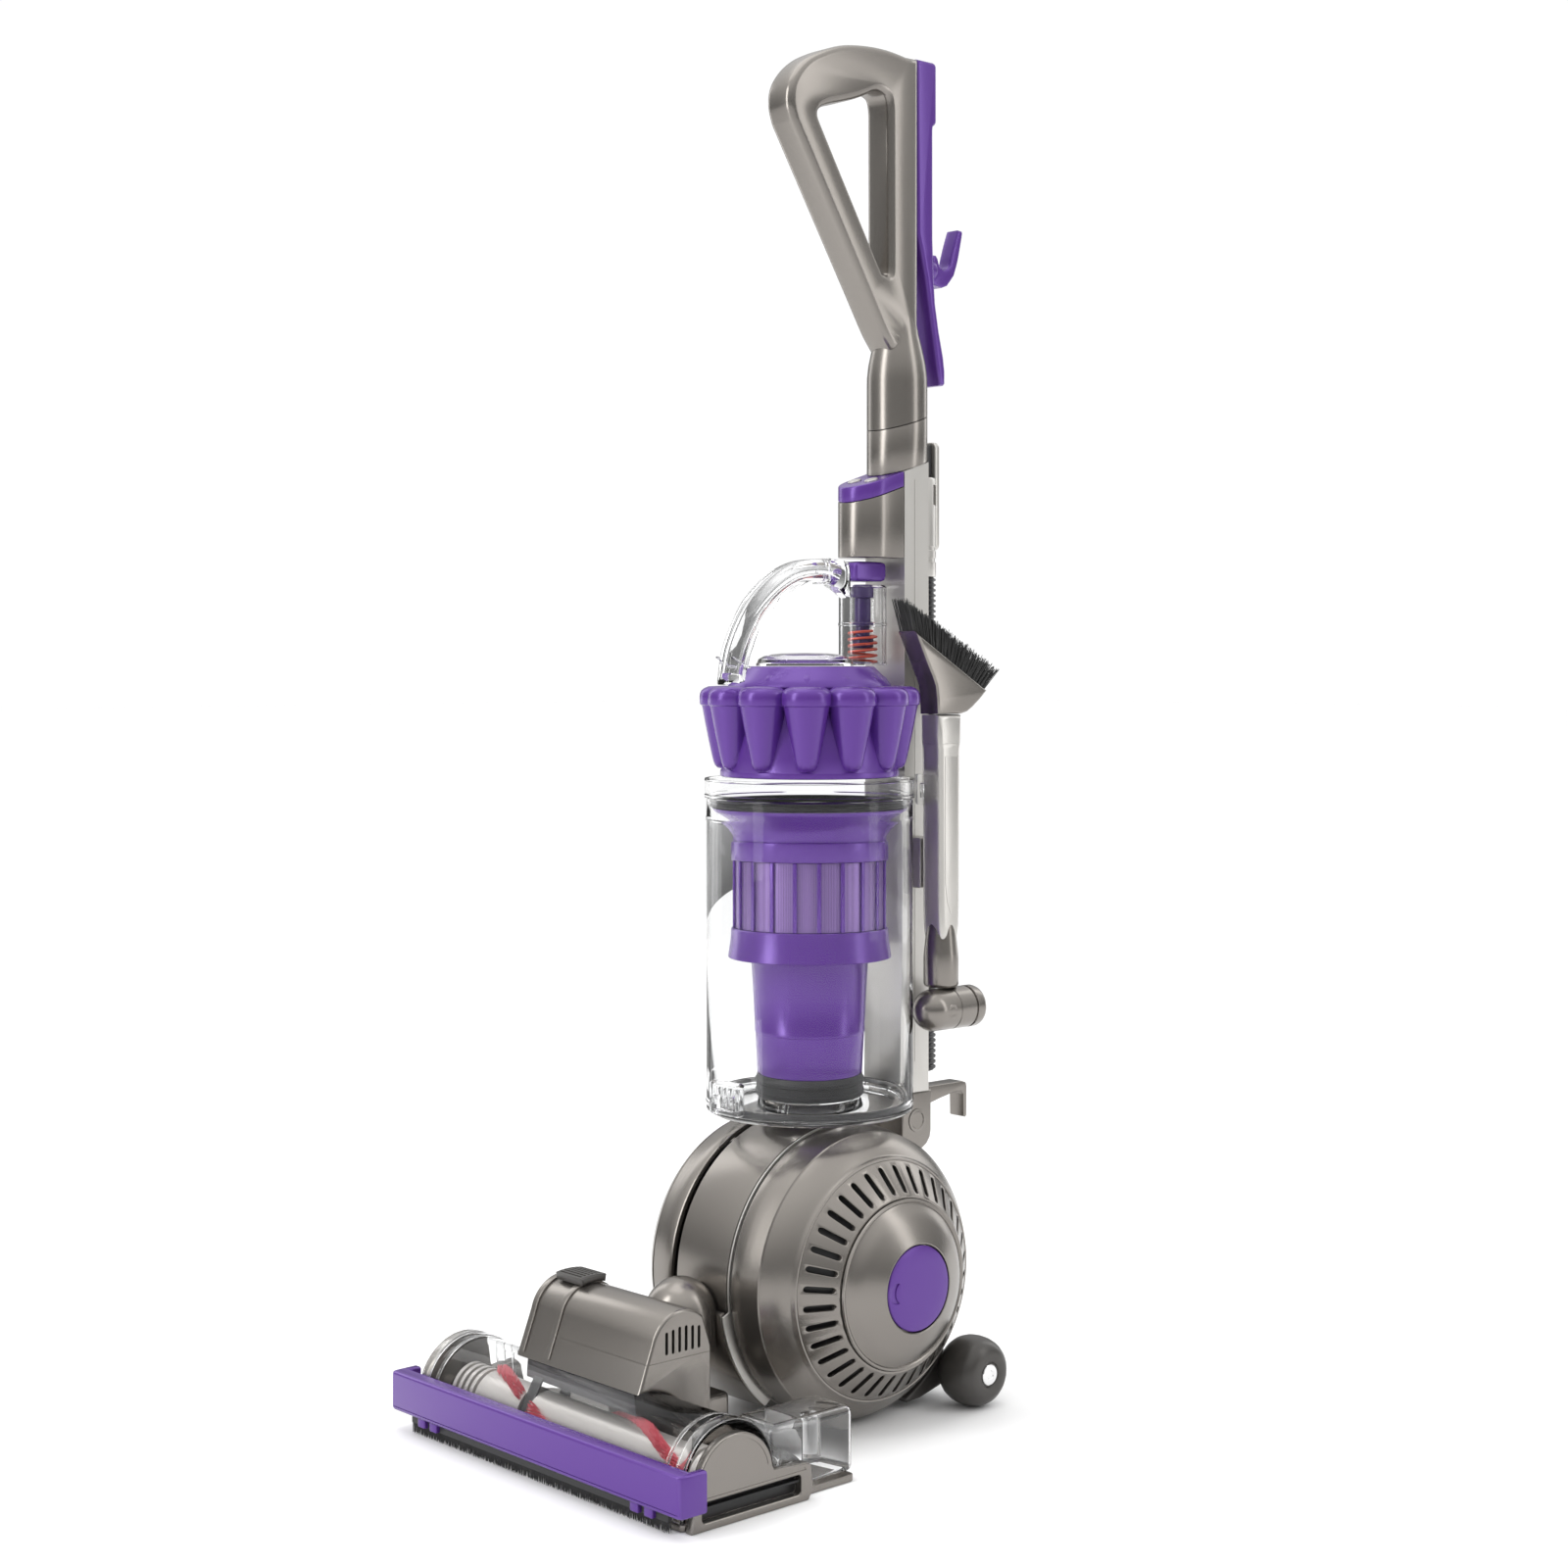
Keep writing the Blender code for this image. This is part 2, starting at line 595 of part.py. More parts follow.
def brush_bar():
    """The brush bar: a core with two twisted ridges of bristle, a belt groove and a stub at each end."""
    groove = BRUSH_R - BELT_T - 0.0005
    stub = 0.0050
    stub_end = HEAD_HALF - END_PLATE_T - 0.0010
    stations = [(-stub_end, stub, 0.0), (-BRUSH_HALF, stub, 0.0), (-BRUSH_HALF, BRUSH_R, 0.0)]
    ridge = BRISTLE_R - BRUSH_R
    left, right = BELT_X[0] - 0.0005, BELT_X[1] + 0.0005
    stations += ridge_stations(-BRUSH_HALF + 0.0060, left - 0.0025, ridge)
    stations += [(left, BRUSH_R, 0.0), (left, groove, 0.0), (right, groove, 0.0), (right, BRUSH_R, 0.0)]
    stations += ridge_stations(right + 0.0025, BRUSH_HALF - 0.0060, ridge)
    stations += [(BRUSH_HALF, BRUSH_R, 0.0), (BRUSH_HALF, stub, 0.0), (stub_end, stub, 0.0)]
    rings = []
    for along, radius, extra in stations:
        twist = BRUSH_TURNS * math.tau * along / (2 * BRUSH_HALF)
        points = []
        for step in range(STEPS):
            raised = extra if step % (STEPS // 2) < 3 else 0.0
            angle = math.tau * step / STEPS + twist
            reach = radius + raised
            points.append((along, BRUSH_Y + reach * math.cos(angle), BRUSH_Z + reach * math.sin(angle)))
        rings.append(points)
    add("brush_bar", loft(rings), "red_bristle", (0.0, BRUSH_Y, BRUSH_Z))


def brush_drive():
    """The small motor in the head, its pulley and the toothed belt."""
    centre = (HOUSING_Y, HOUSING_Z)
    low, high = HEAD_MOTOR_X
    motor = [(low, 0.0), (low, HEAD_MOTOR_R), (high - 0.004, HEAD_MOTOR_R), (high, 0.0120), (high, 0.0)]
    add("brush_motor", turned(motor, "X", centre), "steel")
    pulley_r = PULLEY_R - 0.0002
    pulley = [
        (BELT_X[0] - 0.0010, 0.0), (BELT_X[0] - 0.0010, pulley_r), (BELT_X[1] + 0.0010, pulley_r),
        (BELT_X[1] + 0.0010, 0.0030), (low - RUN, 0.0030), (low - RUN, 0.0),
    ]
    add("motor_pulley", turned(pulley, "X", centre), "black_plastic", (0.0, *centre))
    bar_r = BRUSH_R - BELT_T - 0.0003
    inner = belt_line((BRUSH_Y, BRUSH_Z, bar_r), (*centre, PULLEY_R))
    outer = belt_line((BRUSH_Y, BRUSH_Z, bar_r + BELT_T), (*centre, PULLEY_R + BELT_T))
    add("drive_belt", prism(outer, "X", *BELT_X, [inner]), "black_rubber")


def housing_outline(wall, foot, rear_points):
    """The motor housing's outline from the side, inset by its wall."""
    crown = arc((HOUSING_Y, HOUSING_Z), HOUSING_R - wall, 165, 45, 12)
    shoulder = [(HOUSING_REAR - wall, 0.0900 - wall / 2)]
    return foot + crown + shoulder + rear_points


def motor_housing():
    """The grey housing over the middle of the head, with six vents in its right end, and its latch."""
    saddle = arc((BRUSH_Y, COVER_Z), COVER_R + SEAT, 22, 101, 14)
    outer = housing_outline(0.0, saddle[-1:], [(HOUSING_REAR, HOUSING_FLOOR)] + saddle[:-1])
    housing = add("motor_housing", prism(outer, "X", *HOUSING_X), "iron_grey")
    shelf = HOUSING_FLOOR + HOUSING_WALL
    foot = saddle[-1][0] + HOUSING_WALL
    low = [(HOUSING_REAR - HOUSING_WALL, shelf), (-0.1880, shelf), (-0.1900, 0.0400), (foot, 0.0400)]
    inside = housing_outline(HOUSING_WALL, [(foot, saddle[-1][1])], low)
    carve(housing, prism(inside, "X", HOUSING_X[0] + HOUSING_WALL, HOUSING_X[1] - HOUSING_WALL))
    for index in range(6):
        y = -0.2030 + 0.0060 * index
        carve(housing, box((HOUSING_X[1] - 0.0050, HOUSING_X[1] + 0.0020), (y, y + 0.0025), (0.0900, 0.1060)))
    crown = HOUSING_Z + HOUSING_R
    latch_y = (-0.1990, -0.1750)
    latch = add("head_latch", box((-0.0600, -0.0380), latch_y, (crown + RUN, crown + 0.0065)), "iron_grey")
    for index in range(4):
        y = latch_y[0] + 0.0035 + 0.0045 * index
        carve(latch, box((-0.0610, -0.0370), (y, y + 0.0018), (crown + 0.0052, crown + 0.0080)))


def neck():
    """The suction duct behind the cover, and the round socket that the yoke swivels on."""
    floor = SOLE_T + SEAT
    rear = -0.1120
    duct = box((-0.0340, 0.0340), (BRUSH_Y + COVER_R + SEAT, rear), (floor, 0.0400))
    socket = add("neck_socket", duct, "iron_grey")
    weld(socket, rod("Z", floor + 0.002, NECK_TOP, NECK_R, (0.0, NECK_Y)))
    carve(socket, rod("Z", 0.0, NECK_TOP + 0.01, NECK_R - NECK_WALL, (0.0, NECK_Y)))


# ---------------------------------------------------------------- spine, wand and handle


def nose_outline(inset=0.0):
    """The round-fronted section of the spine's nose."""
    back = SPINE_FRONT - SEAT - inset
    front = arc((0.0, NOSE_Y), SPINE_HALF - inset, 360, 180, 14)
    return front + [(-SPINE_HALF + inset, back), (SPINE_HALF - inset, back)]


def spine():
    """The channel that carries the machine, the nose at its top and the control collar with its buttons."""
    low, high = SPINE_FOOT, 0.78
    inside = SPINE_HALF - SPINE_WALL
    section = [
        (-SPINE_HALF, SPINE_FRONT), (SPINE_HALF, SPINE_FRONT), (SPINE_HALF, SPINE_REAR), (inside, SPINE_REAR),
        (inside, SPINE_FRONT + SPINE_WEB), (-inside, SPINE_FRONT + SPINE_WEB), (-inside, SPINE_REAR),
        (-SPINE_HALF, SPINE_REAR),
    ]
    add("spine_channel", slanted(prism(section, "Z", low, high), 0.0), "light_silver")
    nose = slanted(prism(nose_outline(), "Z", NOSE_FOOT, high), -COLLAR_H - SEAT)
    add("spine_nose", nose, "iron_grey")
    collar = slanted(prism(nose_outline(), "Z", NOSE_FOOT, high), 0.0)
    collar_obj = add("control_collar", slanted(collar, -COLLAR_H, keep_below=False), "purple")
    for word, x in (("power_button", -0.0095), ("brush_button", 0.0095)):
        y = 0.0580
        rise = SLANT_POINT[2] + (y - SLANT_POINT[1]) * SLANT_RISE
        tilt = Matrix.Rotation(math.atan(SLANT_RISE), 4, "X")
        shape = rod("Z", -0.0030, 0.0012, 0.0055, (0.0, 0.0), 16)
        bmesh.ops.transform(shape, matrix=Matrix.Translation((x, y, rise)) @ tilt, verts=shape.verts)
        add(word, shape, "iron_grey", (x, y, rise))
        well = rod("Z", -0.0055, 0.0050, 0.0060, (0.0, 0.0), 16)
        bmesh.ops.transform(well, matrix=Matrix.Translation((x, y, rise)) @ tilt, verts=well.verts)
        carve(collar_obj, well)


def spine_foot():
    """The changeover valve block at the spine's foot, with the lower cable hook behind it."""
    outline = [(0.0840, 0.1925), (0.1000, 0.1865), (0.1140, 0.1920), (0.1180, 0.2010), (0.1180, 0.2352)]
    outline.append((0.0840, 0.2352))
    block = add("valve_block", prism(outline, "X", -0.0180, 0.0180), "iron_grey")
    hook = [
        (0.1160, 0.2060), (0.1240, 0.2200), (0.1620, 0.2290), (0.1660, 0.2250), (0.1660, 0.2050),
        (REAR_REACH, 0.2050), (REAR_REACH, 0.2330), (0.1650, 0.2352), (0.1160, 0.2352),
    ]
    weld(block, prism(hook, "X", -0.0080, 0.0080))


def hose():
    """The ribbed hose in the channel, the cuff over its top, and the wand's catch behind the cuff."""
    inner = HOSE_R - HOSE_WALL
    tube = ring("Z", *HOSE_Z, inner, HOSE_R, (0.0, HOSE_Y))
    add("hose", tube, "black_rubber")
    sleeve = ring("Z", HOSE_Z[1] + SEAT, CUFF_TOP, 0.0155, HOSE_R, (0.0, HOSE_Y))
    cuff = add("hose_cuff", sleeve, "light_silver")
    weld(cuff, box((-0.0110, 0.0110), (0.1290, 0.1345), (0.6700, 0.7580)))
    add("wand_catch", box((-0.0080, 0.0080), (0.1226, 0.1287), (0.7300, 0.7560)), "black_plastic")


def wand():
    """The wand: a wide upper tube on the spine's slanted top, and the thin tube that lies in the hose."""
    outer = circle((0.0, WAND_Y), WAND_R, 32)
    inner = circle((0.0, WAND_Y), WAND_R - WAND_WALL, 32)
    tube = slanted(prism(outer, "Z", 0.70, 0.86, [inner]), RUN, keep_below=False)
    seam = Vector((0.0, WAND_Y, WAND_SEAM))
    add("wand_tube", sliced(tube, seam, Vector((0, -SLANT_RISE, 1))), "iron_grey")
    low, high = HOSE_Z[0] + 0.004, 0.7480
    inner_tube = ring("Z", low, high, INNER_WAND_R - 0.0015, INNER_WAND_R, (0.0, INNER_WAND_Y), 16)
    add("inner_wand", inner_tube, "steel")


def handle():
    """The loop handle, the inlay down its back and the upper cable hook."""
    loop = [
        (0.0800, 0.8300), (0.1080, 0.8300), (0.1080, HANDLE_TOP - 0.0030), (0.0947, HANDLE_TOP - 0.0030),
        (0.0610, HANDLE_TOP), (0.0240, 1.0640), (-0.0120, 1.0490), (-0.0290, 1.0310), (-0.0340, 1.0140),
        (-0.0310, 0.9980), (0.0690, 0.8390),
    ]
    hole = [
        (0.0740, 1.0300), (0.0490, 1.0270), (0.0240, 1.0180), (0.0030, 1.0110), (-0.0030, 1.0050),
        (0.0700, 0.8840), (0.0750, 0.8800),
    ]
    grip = add("handle", prism(loop, "X", -GRIP_HALF, GRIP_HALF, [hole]), "iron_grey")
    seam = Vector((0.0, WAND_Y, WAND_SEAM + SEAT))
    taper = [(0.74, 0.0), (0.74, WAND_R), (0.8050, WAND_R), (0.8400, 0.0175), (0.8700, 0.0120), (0.8700, 0.0)]
    shaft = sliced(turned(taper, "Z", (0.0, WAND_Y)), seam, Vector((0, SLANT_RISE, -1)))
    weld(grip, shaft)
    back = 0.1080 + SEAT
    inlay = [
        (back, 0.9250), (0.1270, 0.9210), (0.1270, 1.0100), (0.1310, 1.0160), (0.1310, 1.0630),
        (0.1280, 1.0660), (back, 1.0660),
    ]
    tail = [
        (0.1270, 0.9210), (back, 0.9250), (0.1190, 0.8870), (0.1250, 0.8500), (0.1330, 0.8040),
        (0.1400, 0.8040), (0.1410, 0.8200), (0.1290, 0.8750),
    ]
    body = inlay[:1] + tail[2:] + inlay[1:]
    add("handle_inlay", prism(body, "X", -INLAY_HALF, INLAY_HALF), "purple")
    x, y, z = HOOK_PIVOT
    blade = [
        (y + HOOK_GAP, z - 0.0120), (0.1420, z - 0.0140), (0.1560, 0.8960), (0.1660, 0.9320),
        (0.1610, 0.9340),
        (0.1500, 0.9020), (0.1400, 0.8980), (0.1350, z + 0.0120), (y + HOOK_GAP, z + 0.0120),
    ]
    add("upper_cable_hook", prism(blade, "X", -0.0070, 0.0070), "purple", HOOK_PIVOT)


# ---------------------------------------------------------------- bin and cyclones


def bin_body():
    """The clear bin, its hinged base with the seal, the catch under the front and the clasp on the rim."""
    low, high = BIN_Z
    inner = BIN_R - BIN_WALL
    step = high - RIM_H
    profile = [(low, inner), (low, BIN_R), (step, BIN_R), (step, RIM_R), (high, RIM_R), (high, inner)]
    add("bin_tube", turned(profile, "Z", (0.0, 0.0), BIG_STEPS), "clear")
    bottom, top = BASE_Z
    lid = [
        (bottom, 0.0), (bottom, BIN_R - 0.0060), (bottom + 0.003, BIN_R), (top, BIN_R), (top, inner - 0.002),
        (top + 0.0050, inner - 0.0040), (top + 0.0050, 0.0),
    ]
    pivot = (0.0, BIN_R - 0.0030, BASE_Z[1])
    add("bin_base", turned(lid, "Z", (0.0, 0.0), BIG_STEPS), "clear", pivot)
    catch = box((-0.0170, 0.0170), (-BIN_R - 0.0095, -BIN_R - SEAT - 0.0005), (BIN_Z[0], BIN_Z[0] + 0.0260))
    add("base_catch", catch, "clear")
    angle = math.radians(50)
    clasp = box((RIM_R + RUN, RIM_R + 0.0070), (-0.0070, 0.0070), (0.4680, PACK_Z[0] - RUN))
    bmesh.ops.rotate(clasp, verts=clasp.verts, matrix=Matrix.Rotation(angle, 3, "Z"))
    add("rim_clasp", clasp, "clear")


def shroud():
    """The flared shroud, its mesh and skirt, the dust cone in the middle and the seal on top."""
    seal_low = 0.4660
    flare = [
        (0.3500, 0.0600), (0.3500, SHROUD_R + 0.0040), (0.3740, SHROUD_R + 0.0015), (0.3740, 0.0575),
        (0.4280, 0.0575), (0.4280, SHROUD_R + 0.0015), (0.4430, SHROUD_R + 0.0015), (0.4450, SHROUD_R),
        (0.4620, BIN_R - 0.0058), (seal_low - SEAT, BIN_R - 0.0043), (seal_low - SEAT, SEAL_IN_R),
        (0.4450, 0.0550),
        (0.3760, 0.0550),
    ]
    add("shroud", turned(flare, "Z", (0.0, 0.0), 24), "purple")
    foot = BASE_Z[1] + 0.0050 + SEAT
    cone = [
        (foot, 0.0390), (foot, 0.0425), (0.2570, 0.0425), (0.2570, 0.0410), (0.3500, DUST_CONE_R),
        (0.4600, DUST_CONE_R), (0.4600, DUST_CONE_R - 0.0025), (0.3500, DUST_CONE_R - 0.0025),
        (0.2600, 0.0385),
    ]
    add("dust_cone", turned(cone, "Z", (0.0, 0.0), 24), "purple")
    top = ring("Z", seal_low, 0.4720, SEAL_IN_R, BIN_R - BIN_WALL - SEAT, (0.0, 0.0), 24)
    add("bin_seal", top, "black_rubber")


def lobed_radius(angle, pitch, radius, core):
    """How far out a ring of overlapping round cones reaches in a direction, but never inside the core."""
    spacing = math.tau / CONE_COUNT
    offset = (angle + spacing / 2) % spacing - spacing / 2
    across = pitch * math.sin(offset)
    if abs(across) >= radius:
        return core
    return max(core, pitch * math.cos(offset) + math.sqrt(radius * radius - across * across))


def cyclone_pack():
    """The ring of small cyclones: cones side by side that taper down into one round body."""
    count = CONE_COUNT * 6
    levels = [
        (0.4900, 0.0, 0.0, 0.0690), (0.4970, 0.0710, 0.0040, 0.0690), (0.5050, 0.0710, 0.0085, 0.0670),
        (0.5450, 0.0690, 0.0165, 0.0640), (0.5460, CONE_PITCH, 0.0195, 0.0600),
        (0.5560, CONE_PITCH, 0.0195, 0.0600), (0.5590, CONE_PITCH, 0.0165, 0.0600),
        (0.5680, 0.0500, 0.0150, 0.0580), (PACK_Z[1], 0.0, 0.0, 0.0500),
    ]
    rings = [[(0.0, 0.0, 0.5620)]]
    for height in (0.5620, PACK_Z[0]):
        turns = [math.tau * k / count for k in range(count)]
        rings.append([(PACK_CORE_R * math.cos(t), PACK_CORE_R * math.sin(t), height) for t in turns])
    for height, pitch, radius, core in levels:
        row = []
        for k in range(count):
            angle = math.tau * k / count
            reach = lobed_radius(angle, pitch, radius, core)
            row.append((reach * math.cos(angle), reach * math.sin(angle), height))
        rings.append(row)
    rings.append([(0.0, 0.0, PACK_Z[1])])
    bm = loft(rings)
    bmesh.ops.recalc_face_normals(bm, faces=bm.faces)
    add("cyclone_pack", sliced(bm, Vector((0, SPINE_FRONT - RUN, 0)), Vector((0, 1, 0))), "purple")
    base = PACK_Z[1] + SEAT
    cap = [(base, 0.0), (base, 0.0380), (base + 0.005, 0.0365), (base + 0.0095, 0.0200), (base + 0.0100, 0.0)]
    add("cyclone_top", turned(cap, "Z", (0.0, -0.0050), 32), "clear")


def carry_handle():
    """The clear carrying arch, the clear column behind it, and the release trigger with its rod."""
    outer = [(-0.0905, 0.5615), (-0.0860, 0.5900), (-0.0700, 0.6200), (-0.0440, 0.6450), (-0.0150, 0.6590)]
    outer += [(0.0150, 0.6600), (0.0300, 0.6590), (0.0375, 0.6400), (0.0450, 0.6400)]
    inner = [
        (0.0450, 0.6200), (0.0300, 0.6340), (0.0150, 0.6420), (-0.0100, 0.6400), (-0.0340, 0.6280),
        (-0.0560, 0.6060),
    ]
    inner += [(-0.0680, 0.5840), (-0.0730, 0.5690)]
    arch = add("carry_handle", prism(outer + inner, "X", -ARCH_HALF, ARCH_HALF), "clear")
    low, high = COLUMN_Z
    weld(arch, rod("Z", low, high + 0.0005, COLUMN_R, (0.0, COLUMN_Y)))
    carve(arch, rod("Z", low - 0.01, high + 0.01, COLUMN_R - 0.0025, (0.0, COLUMN_Y)))
    trigger = [
        (0.0390, 0.6450), (0.0440, 0.6430), (0.0690, 0.6430), (0.0740, 0.6480), (0.0740, 0.6560),
        (0.0690, 0.6590), (0.0430, 0.6590), (0.0390, 0.6560),
    ]
    add("release_trigger", prism(trigger, "X", -0.0110, 0.0110), "purple", (0.0, 0.0700, 0.6500))
    add("release_rod", rod("Z", low + 0.0130, high - 0.0010, 0.0090, (0.0, COLUMN_Y), 16), "purple")


# ---------------------------------------------------------------- tool


def tool():
    """The brush tool on its clip at the right of the spine, and the elbow that turns at its foot."""
    middle_x = sum(TOOL_X) / 2
    middle_y = sum(TOOL_Y) / 2
    clip_end = middle_x - TOOL_COLLAR_R - RUN
    clip = box((SPINE_HALF - SPINE_WALL / 2, clip_end), (0.0860, 0.1030), (0.4000, 0.4400))
    weld(bpy.data.objects["spine_channel"], clip)
    side = [
        (TOOL_Y[0] + 0.0060, 0.3600), (TOOL_Y[1] - 0.0060, 0.3600), (TOOL_Y[1] - 0.0020, 0.3900),
        (TOOL_Y[1] - 0.0020, 0.5150), (TOOL_Y[1], 0.5150), (TOOL_Y[1], 0.5380), (TOOL_Y[0], 0.5380),
        (TOOL_Y[0], 0.5150), (TOOL_Y[0] + 0.0020, 0.5150), (TOOL_Y[0] + 0.0020, 0.3900),
    ]
    body = add("tool_body", prism(side, "X", *TOOL_X), "light_silver")
    holder = [
        (0.0557, 0.6040), (0.0710, 0.5750), (0.0800, 0.5620), (TOOL_Y[0], 0.5383),
        (TOOL_Y[1], 0.5383), (0.1214, 0.5435),
        (0.1380, 0.5570),
    ]
    add("tool_brush_holder", prism(holder, "X", TOOL_X[0], TOOL_X[1] - 0.0010), "iron_grey")
    lift = 0.0005
    bristles = [(0.0557, 0.6040 + lift), (0.1380, 0.5570 + lift), (0.1550, 0.5740), (0.0480, 0.6300)]
    add("tool_bristles", prism(bristles, "X", TOOL_X[0] + 0.0020, TOOL_X[1] - 0.0030), "black_plastic")
    x, y, z = ELBOW_AXIS
    collar_low = z + TOOL_ELBOW_R + RUN
    collar = [
        (collar_low, 0.0), (collar_low, TOOL_COLLAR_R - 0.0020), (collar_low + 0.003, TOOL_COLLAR_R),
        (0.3490, TOOL_COLLAR_R), (0.3650, TOOL_COLLAR_R - 0.0020), (0.3650, 0.0),
    ]
    weld(body, turned(collar, "Z", (middle_x, middle_y)))
    dome = arc((0.0800, 0.0), TOOL_ELBOW_R, 180, 90, 6)[1:]
    profile = [(0.0800 - TOOL_ELBOW_R, 0.0)] + dome
    profile += [(0.1140, TOOL_ELBOW_R), (0.1140, 0.0150), (0.1160, 0.0150), (0.1160, TOOL_ELBOW_R)]
    profile += [(0.1240, TOOL_ELBOW_R), (0.1260, 0.0140), (0.1260, 0.0)]
    add("tool_elbow", turned(profile, "Y", (x, z)), "iron_grey", (x, y, z))


def build():
    """Build the whole machine under one empty, which stands on the floor under the ball's axis."""
    clear_scene()
    machine = bpy.data.objects.new("machine", None)
    machine.location = (0.0, BALL_Y, 0.0)
    bpy.context.scene.collection.objects.link(machine)
    sole_and_ends()
    brush_cover()
    bumper()
    brush_bar()
    brush_drive()
    motor_housing()
    neck()
    yoke()
    motor_bucket()
    for word, side in (("left", -1), ("right", 1)):
        ball_side(word, side)
    ball_button()
    stand()
    for word, side in (("left", -1), ("right", 1)):
        stand_wheel(word, side)
    spine()
    spine_foot()
    hose()
    wand()
    handle()
    bin_body()
    shroud()
    cyclone_pack()
    carry_handle()
    tool()


build()
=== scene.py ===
"""The looks of an upright vacuum cleaner on a ball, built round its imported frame.

Shapes are given in machine coordinates, in metres: X from the middle plane, Y from the ball's axis and Z
from the floor. Machine.dress moves them to the frame's own origin.
"""

import logging
import math
import random
from dataclasses import dataclass, field
from enum import Enum
from typing import Callable, Iterable, Sequence

import bpy
from mathutils import Matrix, Vector


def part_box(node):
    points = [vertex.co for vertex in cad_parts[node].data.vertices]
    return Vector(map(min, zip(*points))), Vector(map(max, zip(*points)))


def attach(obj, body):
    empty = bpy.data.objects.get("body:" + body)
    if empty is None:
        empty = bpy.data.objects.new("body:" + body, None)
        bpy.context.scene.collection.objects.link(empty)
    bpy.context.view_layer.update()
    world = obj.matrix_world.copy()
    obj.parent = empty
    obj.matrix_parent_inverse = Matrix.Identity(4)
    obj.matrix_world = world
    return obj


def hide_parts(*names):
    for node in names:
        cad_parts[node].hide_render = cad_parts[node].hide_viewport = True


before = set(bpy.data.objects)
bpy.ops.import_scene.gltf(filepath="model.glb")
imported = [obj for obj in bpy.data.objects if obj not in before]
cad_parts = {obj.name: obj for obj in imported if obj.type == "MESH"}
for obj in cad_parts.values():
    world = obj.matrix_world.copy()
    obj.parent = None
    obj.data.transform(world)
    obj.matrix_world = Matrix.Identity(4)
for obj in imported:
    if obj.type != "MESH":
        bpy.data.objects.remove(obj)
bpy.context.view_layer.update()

Pair = tuple[float, float]
Triple = tuple[float, float, float]
Object = bpy.types.Object
Nodes = bpy.types.NodeTree

LOG = logging.getLogger("vacuum")

BALL_R = 0.1125
PIVOT_ROOM = 0.0166
NECK_Y = -0.1320
BRUSH_AXIS = (-0.2190, 0.0245)
ARCH_AXIS = (-0.2190, 0.0265)
BIN_R = 0.0808
TOOL_HAIR = 0.0200


class Axis(Enum):
    """The axis that a shape is turned about or extruded along."""

    X = "X"
    Y = "Y"
    Z = "Z"

    def frame(self) -> Matrix:
        """The matrix that takes a shape made along Z to one made along this axis."""
        rows = {
            "X": ((0, 0, 1, 0), (1, 0, 0, 0), (0, 1, 0, 0), (0, 0, 0, 1)),
            "Y": ((1, 0, 0, 0), (0, 0, 1, 0), (0, 1, 0, 0), (0, 0, 0, 1)),
            "Z": ((1, 0, 0, 0), (0, 1, 0, 0), (0, 0, 1, 0), (0, 0, 0, 1)),
        }
        return Matrix(rows[self.value])


class Side(Enum):
    """The machine's two sides, with the sign of X on each."""

    LEFT = -1
    RIGHT = 1

    @property
    def word(self) -> str:
        """The side's name as the nodes spell it."""
        return self.name.lower()

    def span(self, near: float, far: float) -> Pair:
        """Two distances from the middle plane as low and high on X, on this side."""
        low, high = sorted((self.value * near, self.value * far))
        return (low, high)

    def mirrored(self, profile: Sequence[Pair]) -> list[Pair]:
        """A profile given on the right side, turned over for this side."""
        return [(self.value * x, r) for x, r in profile]


# ------------------------------------------------------------------------------------------ workbench


def only(*pieces: Object) -> None:
    """Select these pieces and nothing else, and make the first one active.

    Args:
        pieces: The pieces to select.
    """
    if bpy.context.object and bpy.context.object.mode != "OBJECT":
        bpy.ops.object.mode_set(mode="OBJECT")
    bpy.ops.object.select_all(action="DESELECT")
    for piece in pieces:
        piece.select_set(True)
    bpy.context.view_layer.objects.active = pieces[0]


def deselect() -> None:
    """Leave nothing selected."""
    for obj in bpy.context.selected_objects:
        obj.select_set(False)


def edit_all(piece: Object) -> None:
    """Enter edit mode on a piece with everything in it selected."""
    only(piece)
    bpy.ops.object.mode_set(mode="EDIT")
    bpy.ops.mesh.select_all(action="SELECT")


def close_up(piece: Object, merge: float = 1e-6) -> Object:
    """Merge doubled points, point the faces outwards and leave edit mode.

    Args:
        piece: The piece to clean.
        merge: How near two points are to become one.

    Returns:
        The same piece.
    """
    edit_all(piece)
    bpy.ops.mesh.remove_doubles(threshold=merge)
    bpy.ops.mesh.normals_make_consistent(inside=False)
    bpy.ops.object.mode_set(mode="OBJECT")
    return piece


